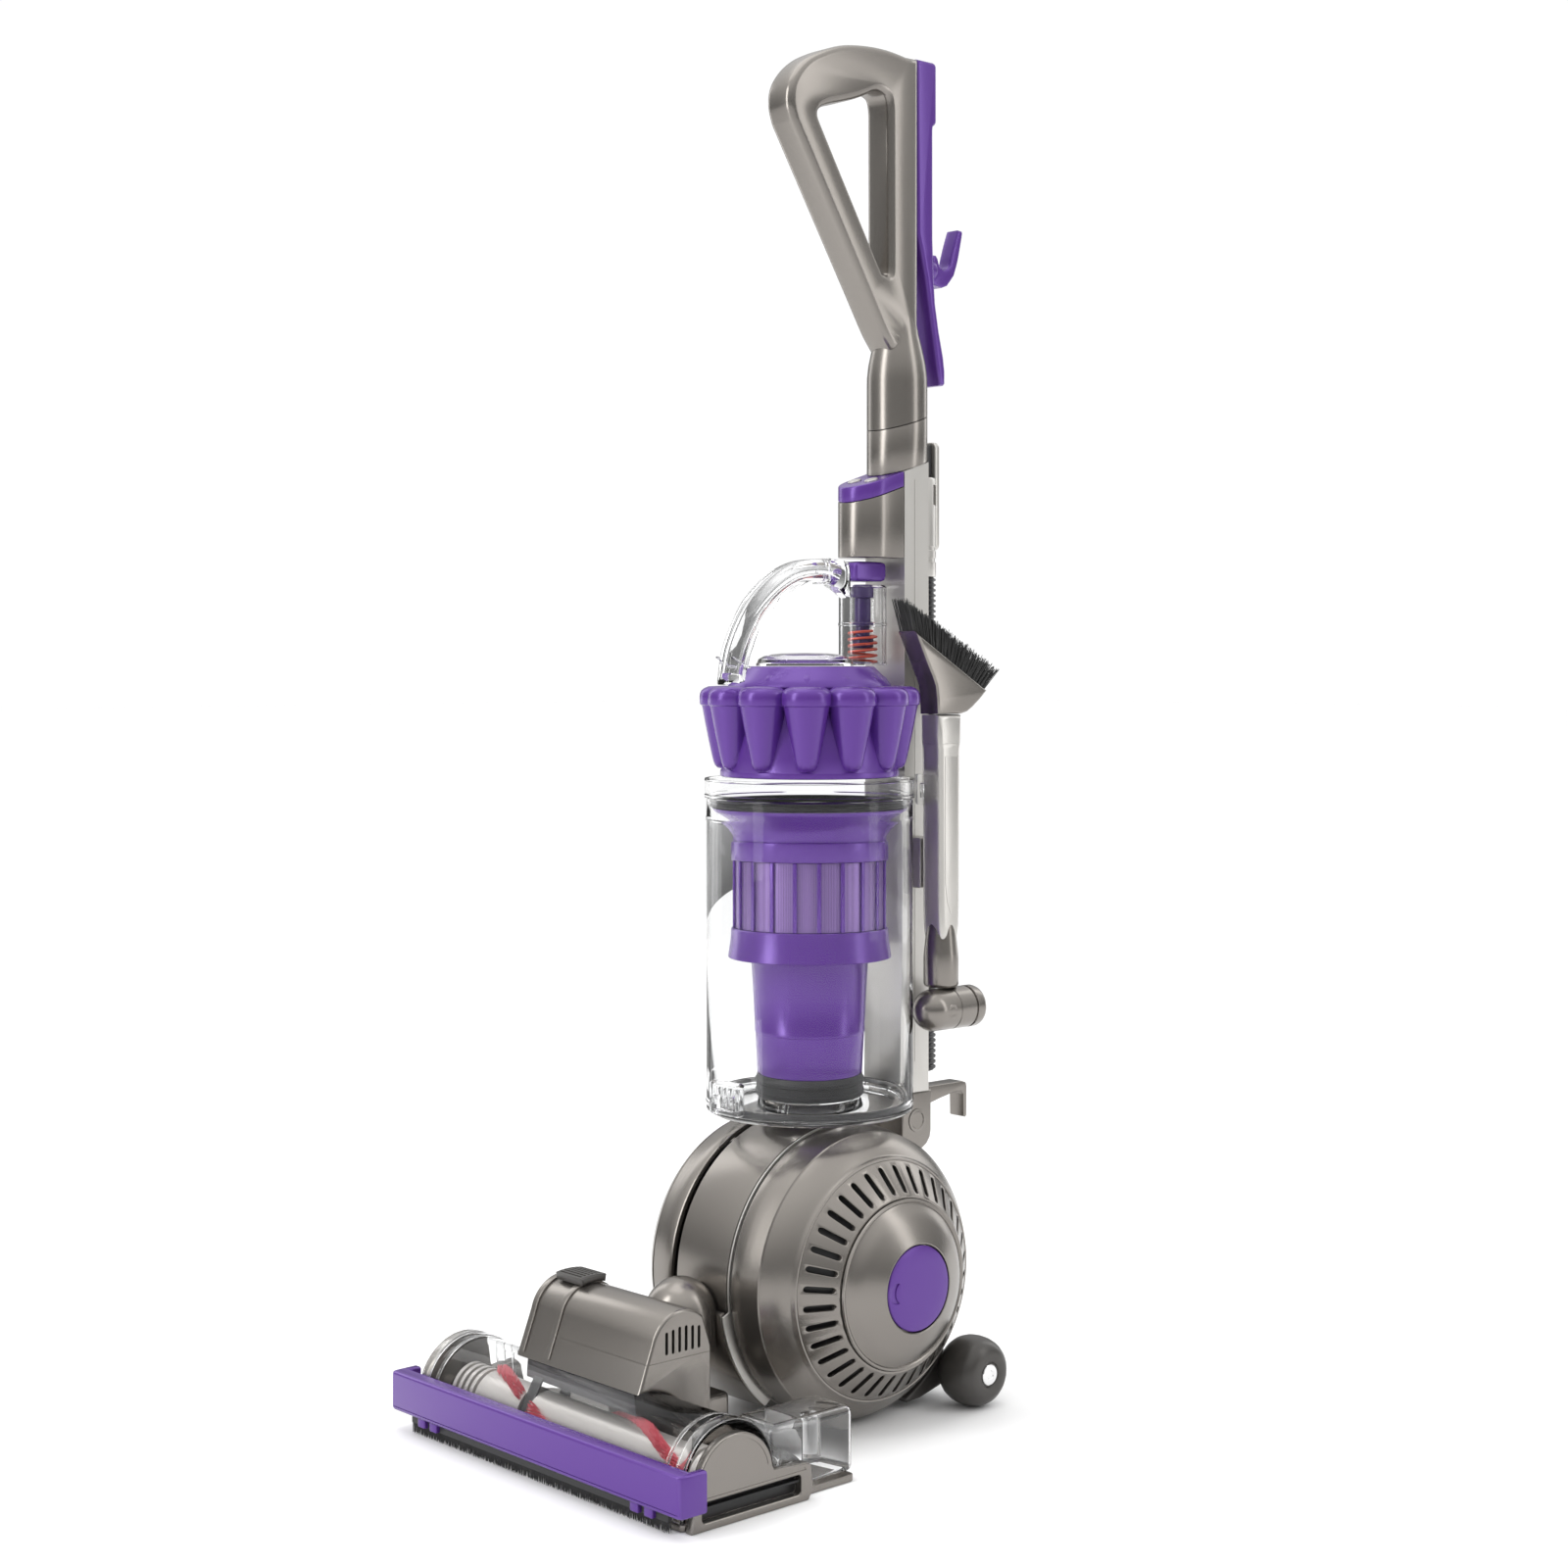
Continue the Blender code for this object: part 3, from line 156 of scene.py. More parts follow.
def lathe(
    name: str, profile: Sequence[Pair], axis: Axis, centre: Pair = (0.0, 0.0), steps: int = 96
) -> Object:
    """Turn a profile: a circle is extruded and scaled from each point to the next.

    Args:
        name: The piece's name.
        profile: (along, radius) points. It closes on itself unless it starts and ends on the axis.
        axis: The axis that it turns about.
        centre: Where the axis stands, in the two other coordinates.
        steps: Sides of the circle.

    Returns:
        The turned piece.
    """
    speck = 1e-6
    points = [(along, max(radius, speck)) for along, radius in profile]
    if profile[0][1] > 0 and profile[-1][1] > 0:
        points.append(points[0])
    deselect()
    bpy.ops.mesh.primitive_circle_add(vertices=steps, radius=points[0][1], location=(0, 0, 0))
    piece = bpy.context.object
    piece.name = name
    edit_all(piece)
    bpy.ops.transform.translate(value=(0, 0, points[0][0]))
    for (along, radius), (onward, reach) in zip(points, points[1:]):
        bpy.ops.mesh.extrude_edges_move(TRANSFORM_OT_translate={"value": (0, 0, onward - along)})
        scale = reach / radius
        bpy.ops.transform.resize(value=(scale, scale, 1), center_override=(0, 0, onward))
    bpy.ops.object.mode_set(mode="OBJECT")
    close_up(piece, 4 * speck)
    piece.data.transform(axis.frame())
    piece.data.transform(Matrix.Translation(spot(axis, 0.0, centre)))
    return close_up(piece, speck)


def round_bar(name: str, span: Pair, radius: float, axis: Axis, centre: Pair, steps: int) -> Object:
    """A plain round rod.

    Args:
        name: The piece's name.
        span: Where it starts and ends on its axis.
        radius: Its radius.
        axis: The axis that it lies along.
        centre: Where the axis stands, in the two other coordinates.
        steps: Sides of the circle.

    Returns:
        The rod.
    """
    low, high = span
    return lathe(name, [(low, 0.0), (low, radius), (high, radius), (high, 0.0)], axis, centre, steps)


def spot(axis: Axis, along: float, across: Pair) -> Vector:
    """A point from its distance along an axis and its two distances across it."""
    first, second = across
    return {
        Axis.X: Vector((along, first, second)),
        Axis.Y: Vector((first, along, second)),
        Axis.Z: Vector((first, second, along)),
    }[axis]


def slab(name: str, loops: Sequence[Sequence[Pair]], axis: Axis, span: Pair, edge: float = 0.0006) -> Object:
    """Extrude a flat outline, with holes if more loops are given, and round its edges.

    Args:
        name: The piece's name.
        loops: The outline and its holes, in the two coordinates across the axis.
        axis: The axis that it is extruded along.
        span: Where it starts and ends on that axis.
        edge: Radius of the rounded edge.

    Returns:
        The extruded piece.
    """
    curve = bpy.data.curves.new(name, "CURVE")
    curve.dimensions = "2D"
    curve.fill_mode = "BOTH"
    curve.extrude = abs(span[1] - span[0]) / 2 - edge
    curve.bevel_depth = edge
    curve.offset = -edge
    curve.bevel_resolution = 2
    for loop in loops:
        spline = curve.splines.new("POLY")
        spline.points.add(len(loop) - 1)
        for point, (first, second) in zip(spline.points, loop):
            point.co = (first, second, 0.0, 1.0)
        spline.use_cyclic_u = True
    piece = bpy.data.objects.new(name, curve)
    bpy.context.scene.collection.objects.link(piece)
    only(piece)
    bpy.ops.object.convert(target="MESH")
    piece = bpy.context.object
    piece.data.transform(axis.frame())
    piece.data.transform(Matrix.Translation(spot(axis, (span[0] + span[1]) / 2, (0.0, 0.0))))
    return close_up(piece)


def pipe(name: str, path: Sequence[Triple], radius: float | Sequence[float], sides: int = 24) -> Object:
    """Sweep a round section along a path, with closed ends.

    Args:
        name: The piece's name.
        path: Points that the middle of the pipe passes.
        radius: One radius, or one for each point.
        sides: Sides of the section.

    Returns:
        The swept piece.
    """
    curve = bpy.data.curves.new(name, "CURVE")
    curve.dimensions = "3D"
    curve.bevel_depth = 1.0
    curve.bevel_resolution = max(1, sides // 4 - 1)
    curve.use_fill_caps = True
    spline = curve.splines.new("POLY")
    spline.points.add(len(path) - 1)
    radii = [radius] * len(path) if isinstance(radius, float) else radius
    for point, place, reach in zip(spline.points, path, radii):
        point.co = (*place, 1.0)
        point.radius = reach
    piece = bpy.data.objects.new(name, curve)
    bpy.context.scene.collection.objects.link(piece)
    only(piece)
    bpy.ops.object.convert(target="MESH")
    return close_up(bpy.context.object)


def block(name: str, x: Pair, y: Pair, z: Pair, edge: float = 0.0006) -> Object:
    """A block with rounded edges.

    Args:
        name: The piece's name.
        x: Low and high on X.
        y: Low and high on Y.
        z: Low and high on Z.
        edge: Radius of its edges.

    Returns:
        The block.
    """
    deselect()
    middle = Vector([(pair[0] + pair[1]) / 2 for pair in (x, y, z)])
    size = [pair[1] - pair[0] for pair in (x, y, z)]
    bpy.ops.mesh.primitive_cube_add(size=1.0)
    piece = bpy.context.object
    piece.name = name
    piece.data.transform(Matrix.Translation(middle) @ Matrix.Diagonal((*size, 1.0)))
    return soften(piece, edge, 3) if edge else piece


def soften(piece: Object, width: float, segments: int = 2, angle: float = 32.0) -> Object:
    """Round the sharp edges of a piece.

    Args:
        piece: The piece.
        width: Radius of the round.
        segments: Faces across it.
        angle: Only edges that turn more than this many degrees are rounded.

    Returns:
        The same piece.
    """
    modifier = piece.modifiers.new("round", "BEVEL")
    modifier.width = width
    modifier.segments = segments
    modifier.limit_method = "ANGLE"
    modifier.angle_limit = math.radians(angle)
    modifier.harden_normals = False
    only(piece)
    bpy.ops.object.modifier_apply(modifier=modifier.name)
    return piece


def boolean(piece: Object, other: Object, operation: str) -> Object:
    """Cut, keep or add another piece, which is used up.

    Args:
        piece: The piece that stays.
        other: The piece that shapes it.
        operation: DIFFERENCE, INTERSECT or UNION.

    Returns:
        The same piece.
    """
    modifier = piece.modifiers.new("shape", "BOOLEAN")
    modifier.operation = operation
    modifier.solver = "EXACT"
    modifier.object = other
    only(piece)
    bpy.ops.object.modifier_apply(modifier=modifier.name)
    bpy.data.objects.remove(other, do_unlink=True)
    return piece


def cut(piece: Object, *others: Object) -> Object:
    """Cut each of the others out of a piece."""
    for other in others:
        boolean(piece, other, "DIFFERENCE")
    return piece


def unite(piece: Object, *others: Object) -> Object:
    """Unite each of the others with a piece."""
    for other in others:
        boolean(piece, other, "UNION")
    return piece


def gather(name: str, pieces: Sequence[Object]) -> Object:
    """Join pieces into one object without changing their surfaces."""
    only(*pieces)
    if len(pieces) > 1:
        bpy.ops.object.join()
    bpy.context.object.name = name
    return bpy.context.object


def copied(piece: Object, matrix: Matrix) -> Object:
    """A copy of a piece with its own mesh, moved by a matrix."""
    twin = piece.copy()
    twin.data = piece.data.copy()
    twin.data.transform(matrix)
    bpy.context.scene.collection.objects.link(twin)
    return twin


def about(axis: Axis, centre: Triple, angle: float) -> Matrix:
    """The matrix of a turn about an axis through a point, in radians."""
    move = Matrix.Translation(centre)
    return move @ Matrix.Rotation(angle, 4, axis.value) @ move.inverted()


def sliced(piece: Object, point: Triple, normal: Triple) -> Object:
    """Cut off what lies beyond a plane and close the cut."""
    edit_all(piece)
    bpy.ops.mesh.bisect(plane_co=point, plane_no=normal, use_fill=True, clear_outer=True)
    bpy.ops.object.mode_set(mode="OBJECT")
    return close_up(piece)


def arc(centre: Pair, radius: float, start: float, end: float, count: int) -> list[Pair]:
    """Points along an arc, in degrees from the first coordinate's direction."""
    angles = [math.radians(start + (end - start) * step / (count - 1)) for step in range(count)]
    return [(centre[0] + radius * math.cos(a), centre[1] + radius * math.sin(a)) for a in angles]


def circle(centre: Pair, radius: float, count: int = 48) -> list[Pair]:
    """Points round a whole circle."""
    return arc(centre, radius, 0, 360, count + 1)[:-1]


def rounded(x: Pair, y: Pair, radius: float, count: int = 6) -> list[Pair]:
    """A rectangle with round corners."""
    corners = [(x[1] - radius, y[1] - radius, 0), (x[0] + radius, y[1] - radius, 90)]
    corners += [(x[0] + radius, y[0] + radius, 180), (x[1] - radius, y[0] + radius, 270)]
    points: list[Pair] = []
    for first, second, start in corners:
        points += arc((first, second), radius, start, start + 90, count)
    return points


def flowing(points: Sequence[Sequence[float]], per: int = 6, closed: bool = False) -> list[tuple[float, ...]]:
    """A smooth curve through points.

    Args:
        points: The points to pass, with any number of coordinates each.
        per: Points made for each stretch.
        closed: Whether the curve returns to its start.

    Returns:
        The points of the smooth curve.
    """
    count = len(points)
    stretches = count if closed else count - 1
    out: list[tuple[float, ...]] = []
    for index in range(stretches):
        if closed:
            four = [points[(index + shift) % count] for shift in (-1, 0, 1, 2)]
        else:
            four = [points[min(max(index + shift, 0), count - 1)] for shift in (-1, 0, 1, 2)]
        for step in range(per):
            t = step / per
            weights = (
                (-t**3 + 2 * t**2 - t) / 2, (3 * t**3 - 5 * t**2 + 2) / 2,
                (-3 * t**3 + 4 * t**2 + t) / 2, (t**3 - t**2) / 2,
            )
            out.append(tuple(sum(w * p[k] for w, p in zip(weights, four)) for k in range(len(points[0]))))
    if not closed:
        out.append(tuple(points[-1]))
    return out


# ------------------------------------------------------------------------------------------- finishes


def new_group(name: str, inputs: dict[str, float], outputs: Iterable[str]) -> Nodes:
    """A shader node group with named float inputs and outputs, and its two end nodes.

    Args:
        name: The group's name.
        inputs: Each input with its default.
        outputs: The names of the outputs.

    Returns:
        The group, empty but for its ends.
    """
    group = bpy.data.node_groups.new(name, "ShaderNodeTree")
    for word, value in inputs.items():
        socket = group.interface.new_socket(name=word, in_out="INPUT", socket_type="NodeSocketFloat")
        socket.default_value = value
    for word in outputs:
        group.interface.new_socket(name=word, in_out="OUTPUT", socket_type="NodeSocketFloat")
    group.nodes.new("NodeGroupInput")
    group.nodes.new("NodeGroupOutput")
    return group


def grain_group() -> Nodes:
    """Fine moulded or sprayed grain: two noises, out as a height."""
    group = new_group("fine_grain", {"Scale": 1500.0, "Coarse": 0.2}, ["Height"])
    nodes, links = group.nodes, group.links
    start, end = nodes["Group Input"], nodes["Group Output"]
    place = nodes.new("ShaderNodeTexCoord")
    fine = nodes.new("ShaderNodeTexNoise")
    fine.inputs["Detail"].default_value = 2.0
    coarse = nodes.new("ShaderNodeTexNoise")
    share = nodes.new("ShaderNodeMath")
    share.operation = "MULTIPLY"
    mix = nodes.new("ShaderNodeMix")
    links.new(place.outputs["Object"], fine.inputs["Vector"])
    links.new(place.outputs["Object"], coarse.inputs["Vector"])
    links.new(start.outputs["Scale"], fine.inputs["Scale"])
    links.new(start.outputs["Scale"], share.inputs[0])
    links.new(start.outputs["Coarse"], share.inputs[1])
    links.new(share.outputs[0], coarse.inputs["Scale"])
    links.new(fine.outputs["Fac"], mix.inputs["A"])
    links.new(coarse.outputs["Fac"], mix.inputs["B"])
    mix.inputs["Factor"].default_value = 0.35
    links.new(mix.outputs["Result"], end.inputs["Height"])
    return group


def handling_group() -> Nodes:
    """Soft cloudy patches that handling and wiping leave: out as a mask."""
    group = new_group("handling", {"Scale": 18.0, "Contrast": 0.25}, ["Mask"])
    nodes, links = group.nodes, group.links
    start, end = nodes["Group Input"], nodes["Group Output"]
    place = nodes.new("ShaderNodeTexCoord")
    cloud = nodes.new("ShaderNodeTexNoise")
    cloud.inputs["Detail"].default_value = 6.0
    cloud.inputs["Roughness"].default_value = 0.65
    centred = nodes.new("ShaderNodeMath")
    centred.operation = "SUBTRACT"
    centred.inputs[1].default_value = 0.5
    scaled = nodes.new("ShaderNodeMath")
    scaled.operation = "MULTIPLY"
    links.new(place.outputs["Object"], cloud.inputs["Vector"])
    links.new(start.outputs["Scale"], cloud.inputs["Scale"])
    links.new(cloud.outputs["Fac"], centred.inputs[0])
    links.new(centred.outputs[0], scaled.inputs[0])
    links.new(start.outputs["Contrast"], scaled.inputs[1])
    links.new(scaled.outputs[0], end.inputs["Mask"])
    return group


def edge_group() -> Nodes:
    """Edges rubbed a little lighter: out as a mask that is 1 on a worn edge."""
    group = new_group("edge_rub", {"Low": 0.54, "High": 0.62}, ["Mask"])
    nodes, links = group.nodes, group.links
    start, end = nodes["Group Input"], nodes["Group Output"]
    shape = nodes.new("ShaderNodeNewGeometry")
    ramp = nodes.new("ShaderNodeMapRange")
    ramp.interpolation_type = "SMOOTHSTEP"
    links.new(shape.outputs["Pointiness"], ramp.inputs["Value"])
    links.new(start.outputs["Low"], ramp.inputs["From Min"])
    links.new(start.outputs["High"], ramp.inputs["From Max"])
    links.new(ramp.outputs["Result"], end.inputs["Mask"])
    return group


def blank_material(name: str) -> tuple[bpy.types.Material, Nodes, bpy.types.Node]:
    """A new material with its nodes and its main shader."""
    material = bpy.data.materials.new(name)
    material.use_nodes = True
    return material, material.node_tree, material.node_tree.nodes["Principled BSDF"]


def joined(tree: Nodes, *pairs: tuple[bpy.types.NodeSocket, bpy.types.NodeSocket]) -> None:
    """Link each output to its input, in this order."""
    for source, target in pairs:
        tree.links.new(source, target)


GROUPS: dict[str, Callable[[], Nodes]] = {
    "fine_grain": grain_group, "handling": handling_group, "edge_rub": edge_group,
}


@dataclass(frozen=True)
class Finish:
    """A moulded, painted or metal finish with grain, handling marks and rubbed edges.

    Attributes:
        name: The material's name.
        slot: A slot name for pieces in this finish; it is not used.
        colour: Base colour, linear.
        roughness: Mean roughness.
        metallic: Metallic value.
        grain: Scale of the grain, in waves a metre.
        depth: Height of the grain, in metres.
        fleck: How much the grain varies the colour.
        clouding: How much handling varies the roughness.
        rub: How much lighter a rubbed edge is.
        coat: Weight of a clear coat.
    """

    name: str
    slot: str
    colour: Triple
    roughness: float
    metallic: float = 0.0
    grain: float = 1800.0
    depth: float = 0.00002
    fleck: float = 0.08
    clouding: float = 0.12
    rub: float = 0.25
    coat: float = 0.0

    def group(self, tree: Nodes, name: str, **values: float) -> bpy.types.Node:
        """Place a shared group in a material and set its inputs.

        Args:
            tree: The material's nodes.
            name: The group's name.
            values: Its inputs.

        Returns:
            The group node.
        """
        if name not in bpy.data.node_groups:
            GROUPS[name]()
        node = tree.nodes.new("ShaderNodeGroup")
        node.node_tree = bpy.data.node_groups[name]
        for word, value in values.items():
            node.inputs[word].default_value = value
        return node

    def tinted(self, tree: Nodes, grain: bpy.types.Node, rub: bpy.types.Node) -> bpy.types.NodeSocket:
        """The base colour, flecked by the grain and lighter on rubbed edges."""
        dark = tuple(max(0.0, part * (1 - self.fleck)) for part in self.colour)
        light = tuple(min(1.0, part * (1 + self.fleck)) for part in self.colour)
        worn = tuple(part + (1 - part) * self.rub for part in self.colour)
        flecks = tree.nodes.new("ShaderNodeMix")
        flecks.data_type = "RGBA"
        flecks.inputs["A"].default_value = (*dark, 1.0)
        flecks.inputs["B"].default_value = (*light, 1.0)
        edges = tree.nodes.new("ShaderNodeMix")
        edges.data_type = "RGBA"
        edges.inputs["B"].default_value = (*worn, 1.0)
        joined(
            tree,
            (grain.outputs["Height"], flecks.inputs["Factor"]),
            (rub.outputs["Mask"], edges.inputs["Factor"]),
            (flecks.outputs["Result"], edges.inputs["A"]),
        )
        return edges.outputs["Result"]

    def material(self) -> bpy.types.Material:
        """The finish's material, made the first time it is asked for."""
        if self.name in bpy.data.materials:
            return bpy.data.materials[self.name]
        material, tree, shader = blank_material(self.name)
        shader.inputs["Metallic"].default_value = self.metallic
        shader.inputs["Coat Weight"].default_value = self.coat
        grain = self.group(tree, "fine_grain", Scale=self.grain)
        rub = self.group(tree, "edge_rub")
        cloud = self.group(tree, "handling", Contrast=self.clouding * 2)
        rough = tree.nodes.new("ShaderNodeMath")
        rough.inputs[1].default_value = self.roughness
        bump = tree.nodes.new("ShaderNodeBump")
        bump.inputs["Distance"].default_value = self.depth
        joined(
            tree,
            (self.tinted(tree, grain, rub), shader.inputs["Base Color"]),
            (cloud.outputs["Mask"], rough.inputs[0]),
            (rough.outputs[0], shader.inputs["Roughness"]),
            (grain.outputs["Height"], bump.inputs["Height"]),
            (bump.outputs["Normal"], shader.inputs["Normal"]),
        )
        return material


@dataclass(frozen=True)
class ClearFinish(Finish):
    """Clear polycarbonate with a trace of tint and fine wiping marks.

    Light passes straight through to what it holds.

    Attributes:
        index: Refractive index. The walls have a low one, so that they do not veil what is inside.
    """

    index: float = 1.46

    def material(self) -> bpy.types.Material:
        """The clear material, made the first time it is asked for."""
        if self.name in bpy.data.materials:
            return bpy.data.materials[self.name]
        material, tree, shader = blank_material(self.name)
        shader.inputs["Base Color"].default_value = (*self.colour, 1.0)
        shader.inputs["Transmission Weight"].default_value = 1.0
        shader.inputs["IOR"].default_value = self.index
        cloud = self.group(tree, "handling", Scale=30.0, Contrast=0.05)
        rough = tree.nodes.new("ShaderNodeMath")
        rough.inputs[1].default_value = self.roughness
        tree.links.new(cloud.outputs["Mask"], rough.inputs[0])
        tree.links.new(rough.outputs[0], shader.inputs["Roughness"])
        through = tree.nodes.new("ShaderNodeBsdfTransparent")
        path = tree.nodes.new("ShaderNodeLightPath")
        soft = tree.nodes.new("ShaderNodeMath")
        soft.operation = "MAXIMUM"
        mix = tree.nodes.new("ShaderNodeMixShader")
        joined(
            tree,
            (path.outputs["Is Shadow Ray"], soft.inputs[0]),
            (path.outputs["Is Diffuse Ray"], soft.inputs[1]),
            (soft.outputs[0], mix.inputs["Fac"]),
            (shader.outputs[0], mix.inputs[1]),
            (through.outputs[0], mix.inputs[2]),
            (mix.outputs[0], tree.nodes["Material Output"].inputs["Surface"]),
        )
        return material


@dataclass(frozen=True)
class MeshFinish(Finish):
    """The shroud's fine punched mesh: rows of small holes, painted darker than what is round them as painted
    shade for the dark inside seen through them.

    Attributes:
        pitch: Holes in a metre.
    """

    pitch: float = 1100.0

    def material(self) -> bpy.types.Material:
        """The punched material, made the first time it is asked for."""
        if self.name in bpy.data.materials:
            return bpy.data.materials[self.name]
        material = super().material()
        tree = material.node_tree
        shader = tree.nodes["Principled BSDF"]
        place = tree.nodes.new("ShaderNodeTexCoord")
        holes = tree.nodes.new("ShaderNodeTexVoronoi")
        holes.inputs["Scale"].default_value = self.pitch
        holes.inputs["Randomness"].default_value = 0.0
        ramp = tree.nodes.new("ShaderNodeMapRange")
        ramp.inputs["From Min"].default_value = 0.25
        ramp.inputs["From Max"].default_value = 0.40
        # Painted shade: the holes take the colour at 0.35 of its strength, standing for the shadow seen
        # through them.
        colour = tree.nodes.new("ShaderNodeMix")
        colour.data_type = "RGBA"
        colour.inputs["A"].default_value = (*[part * 0.35 for part in self.colour], 1.0)
        colour.inputs["B"].default_value = (*self.colour, 1.0)
        joined(
            tree,
            (place.outputs["Object"], holes.inputs["Vector"]),
            (holes.outputs["Distance"], ramp.inputs["Value"]),
            (ramp.outputs["Result"], colour.inputs["Factor"]),
            (colour.outputs["Result"], shader.inputs["Base Color"]),
        )
        return material


IRON = Finish(
    "iron_grey_paint", "iron_grey", (0.235, 0.218, 0.200), 0.26, 0.88, 9000.0, 0.000002, 0.10, 0.02, 0.03
)
SILVER = Finish(
    "light_silver_paint", "light_silver", (0.520, 0.505, 0.478), 0.30, 0.70, 9000.0, 0.000002, 0.06, 0.02,
    0.03,
)
PURPLE = Finish(
    "purple_moulding", "purple", (0.098, 0.031, 0.255), 0.26, 0.25, 7000.0, 0.000002, 0.10, 0.03, 0.02
)
DARK_PURPLE = Finish(
    "dark_purple_moulding", "purple", (0.030, 0.010, 0.085), 0.35, 0.10, 7000.0, 0.000003, 0.08, 0.03, 0.02
)
WHEEL = Finish(
    "wheel_moulding", "wheel_grey", (0.062, 0.058, 0.054), 0.34, 0.35, 4000.0, 0.00001, 0.12, 0.04, 0.03
)
RUBBER = Finish(
    "black_rubber_moulding", "black_rubber", (0.010, 0.010, 0.011), 0.60, 0.0, 3000.0, 0.00002, 0.10, 0.05,
    0.02,
)
BLACK = Finish(
    "black_moulding", "black_plastic", (0.011, 0.011, 0.012), 0.38, 0.0, 3000.0, 0.00001, 0.10, 0.05, 0.02
)
BRISTLE = Finish(
    "black_bristle", "black_plastic", (0.008, 0.008, 0.008), 0.60, 0.0, 900.0, 0.00002, 0.50, 0.05, 0.02
)
RED = Finish("red_bristle", "red_bristle", (0.60, 0.016, 0.034), 0.50, 0.0, 1200.0, 0.00002, 0.30, 0.05, 0.02)
CORE = Finish(
    "brush_core_moulding", "red_bristle", (0.46, 0.44, 0.42), 0.34, 0.60, 7000.0, 0.000003, 0.08, 0.04, 0.03
)
RED_METAL = Finish(
    "red_spring", "purple", (0.50, 0.050, 0.020), 0.35, 0.30, 3000.0, 0.000005, 0.08, 0.04, 0.03
)
CHROME = Finish("chrome", "chrome", (0.75, 0.75, 0.75), 0.10, 1.0, 3000.0, 0.000002, 0.03, 0.03, 0.02)
STEEL = Finish("turned_steel", "steel", (0.52, 0.52, 0.52), 0.26, 1.0, 3000.0, 0.000004, 0.06, 0.05, 0.02)
CLEAR = ClearFinish("clear_polycarbonate", "clear", (0.985, 0.988, 0.990), 0.02)
CLEAR_WALL = ClearFinish("clear_polycarbonate_wall", "clear", (0.985, 0.988, 0.990), 0.02, index=1.20)
SHROUD_MESH = MeshFinish(
    "shroud_mesh", "purple", (0.210, 0.130, 0.340), 0.36, 0.45, 3000.0, 0.00001, 0.10, 0.03, 0.02
)


@dataclass
class Machine:
    """What all sub-assemblies share: where the ball's axis stands, and how a piece is finished."""

    ball_y: float = field(default_factory=lambda: sum(corner[1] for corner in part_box("motor_bucket")) / 2)

    def dress(self, piece: Object, finish: Finish, body: str, *nodes: str, angle: float = 30.0) -> Object:
        """Put a finished piece in its place, with its material, its body and the nodes it stands for.

        Args:
            piece: The piece, in machine coordinates.
            finish: Its finish.
            body: The body that it rides on.
            nodes: The frame's nodes that it replaces.
            angle: Edges that turn more than this many degrees stay sharp.

        Returns:
            The same piece.
        """
        piece.data.transform(Matrix.Translation((0.0, self.ball_y, 0.0)))
        piece.data.materials.clear()
        piece.data.materials.append(finish.material())
        only(piece)
        bpy.ops.object.shade_smooth_by_angle(angle=math.radians(angle))
        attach(piece, body)
        if nodes:
            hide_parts(*nodes)
        LOG.info("%s: %d faces on %s", piece.name, len(piece.data.polygons), body)
        return piece

    def repaint(self, finish: Finish, *nodes: str) -> None:
        """Give nodes that stay as they are a better material.

        Args:
            finish: The finish.
            nodes: The frame's nodes.
        """
        for name in nodes:
            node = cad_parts[name]
            for index in range(len(node.material_slots)):
                node.material_slots[index].material = finish.material()


def scattered(name: str, piece: Object, matrices: Sequence[Matrix]) -> Object:
    """One object that holds a copy of a small piece at each matrix.

    Args:
        name: The name of the result.
        piece: The small piece, which is used up.
        matrices: Where the copies go.

    Returns:
        The gathered copies.
    """
    pieces = [copied(piece, matrix) for matrix in matrices]
    bpy.data.objects.remove(piece, do_unlink=True)
    return gather(name, pieces)


def strand(radius: float, length: float, tip: float = 0.35) -> Object:
    """One bristle along Z from the origin, thinner at its tip.

    Args:
        radius: Radius at the root.
        length: Its length.
        tip: Radius at the tip, as a share of the root's.

    Returns:
        The bristle.
    """
    deselect()
    bpy.ops.mesh.primitive_cone_add(
        vertices=4, radius1=radius, radius2=radius * tip, depth=length, location=(0, 0, 0)
    )
    piece = bpy.context.object
    piece.data.transform(Matrix.Translation((0, 0, length / 2)))
    return piece


@dataclass
class Assembly:
    """A group of pieces that belong together.

    Attributes:
        machine: The machine that they are part of.
    """

    machine: Machine

    @property
    def dress(self) -> Callable[..., Object]:
        """The machine's way to place and finish a piece."""
        return self.machine.dress


# --------------------------------------------------------------------------------------- studio


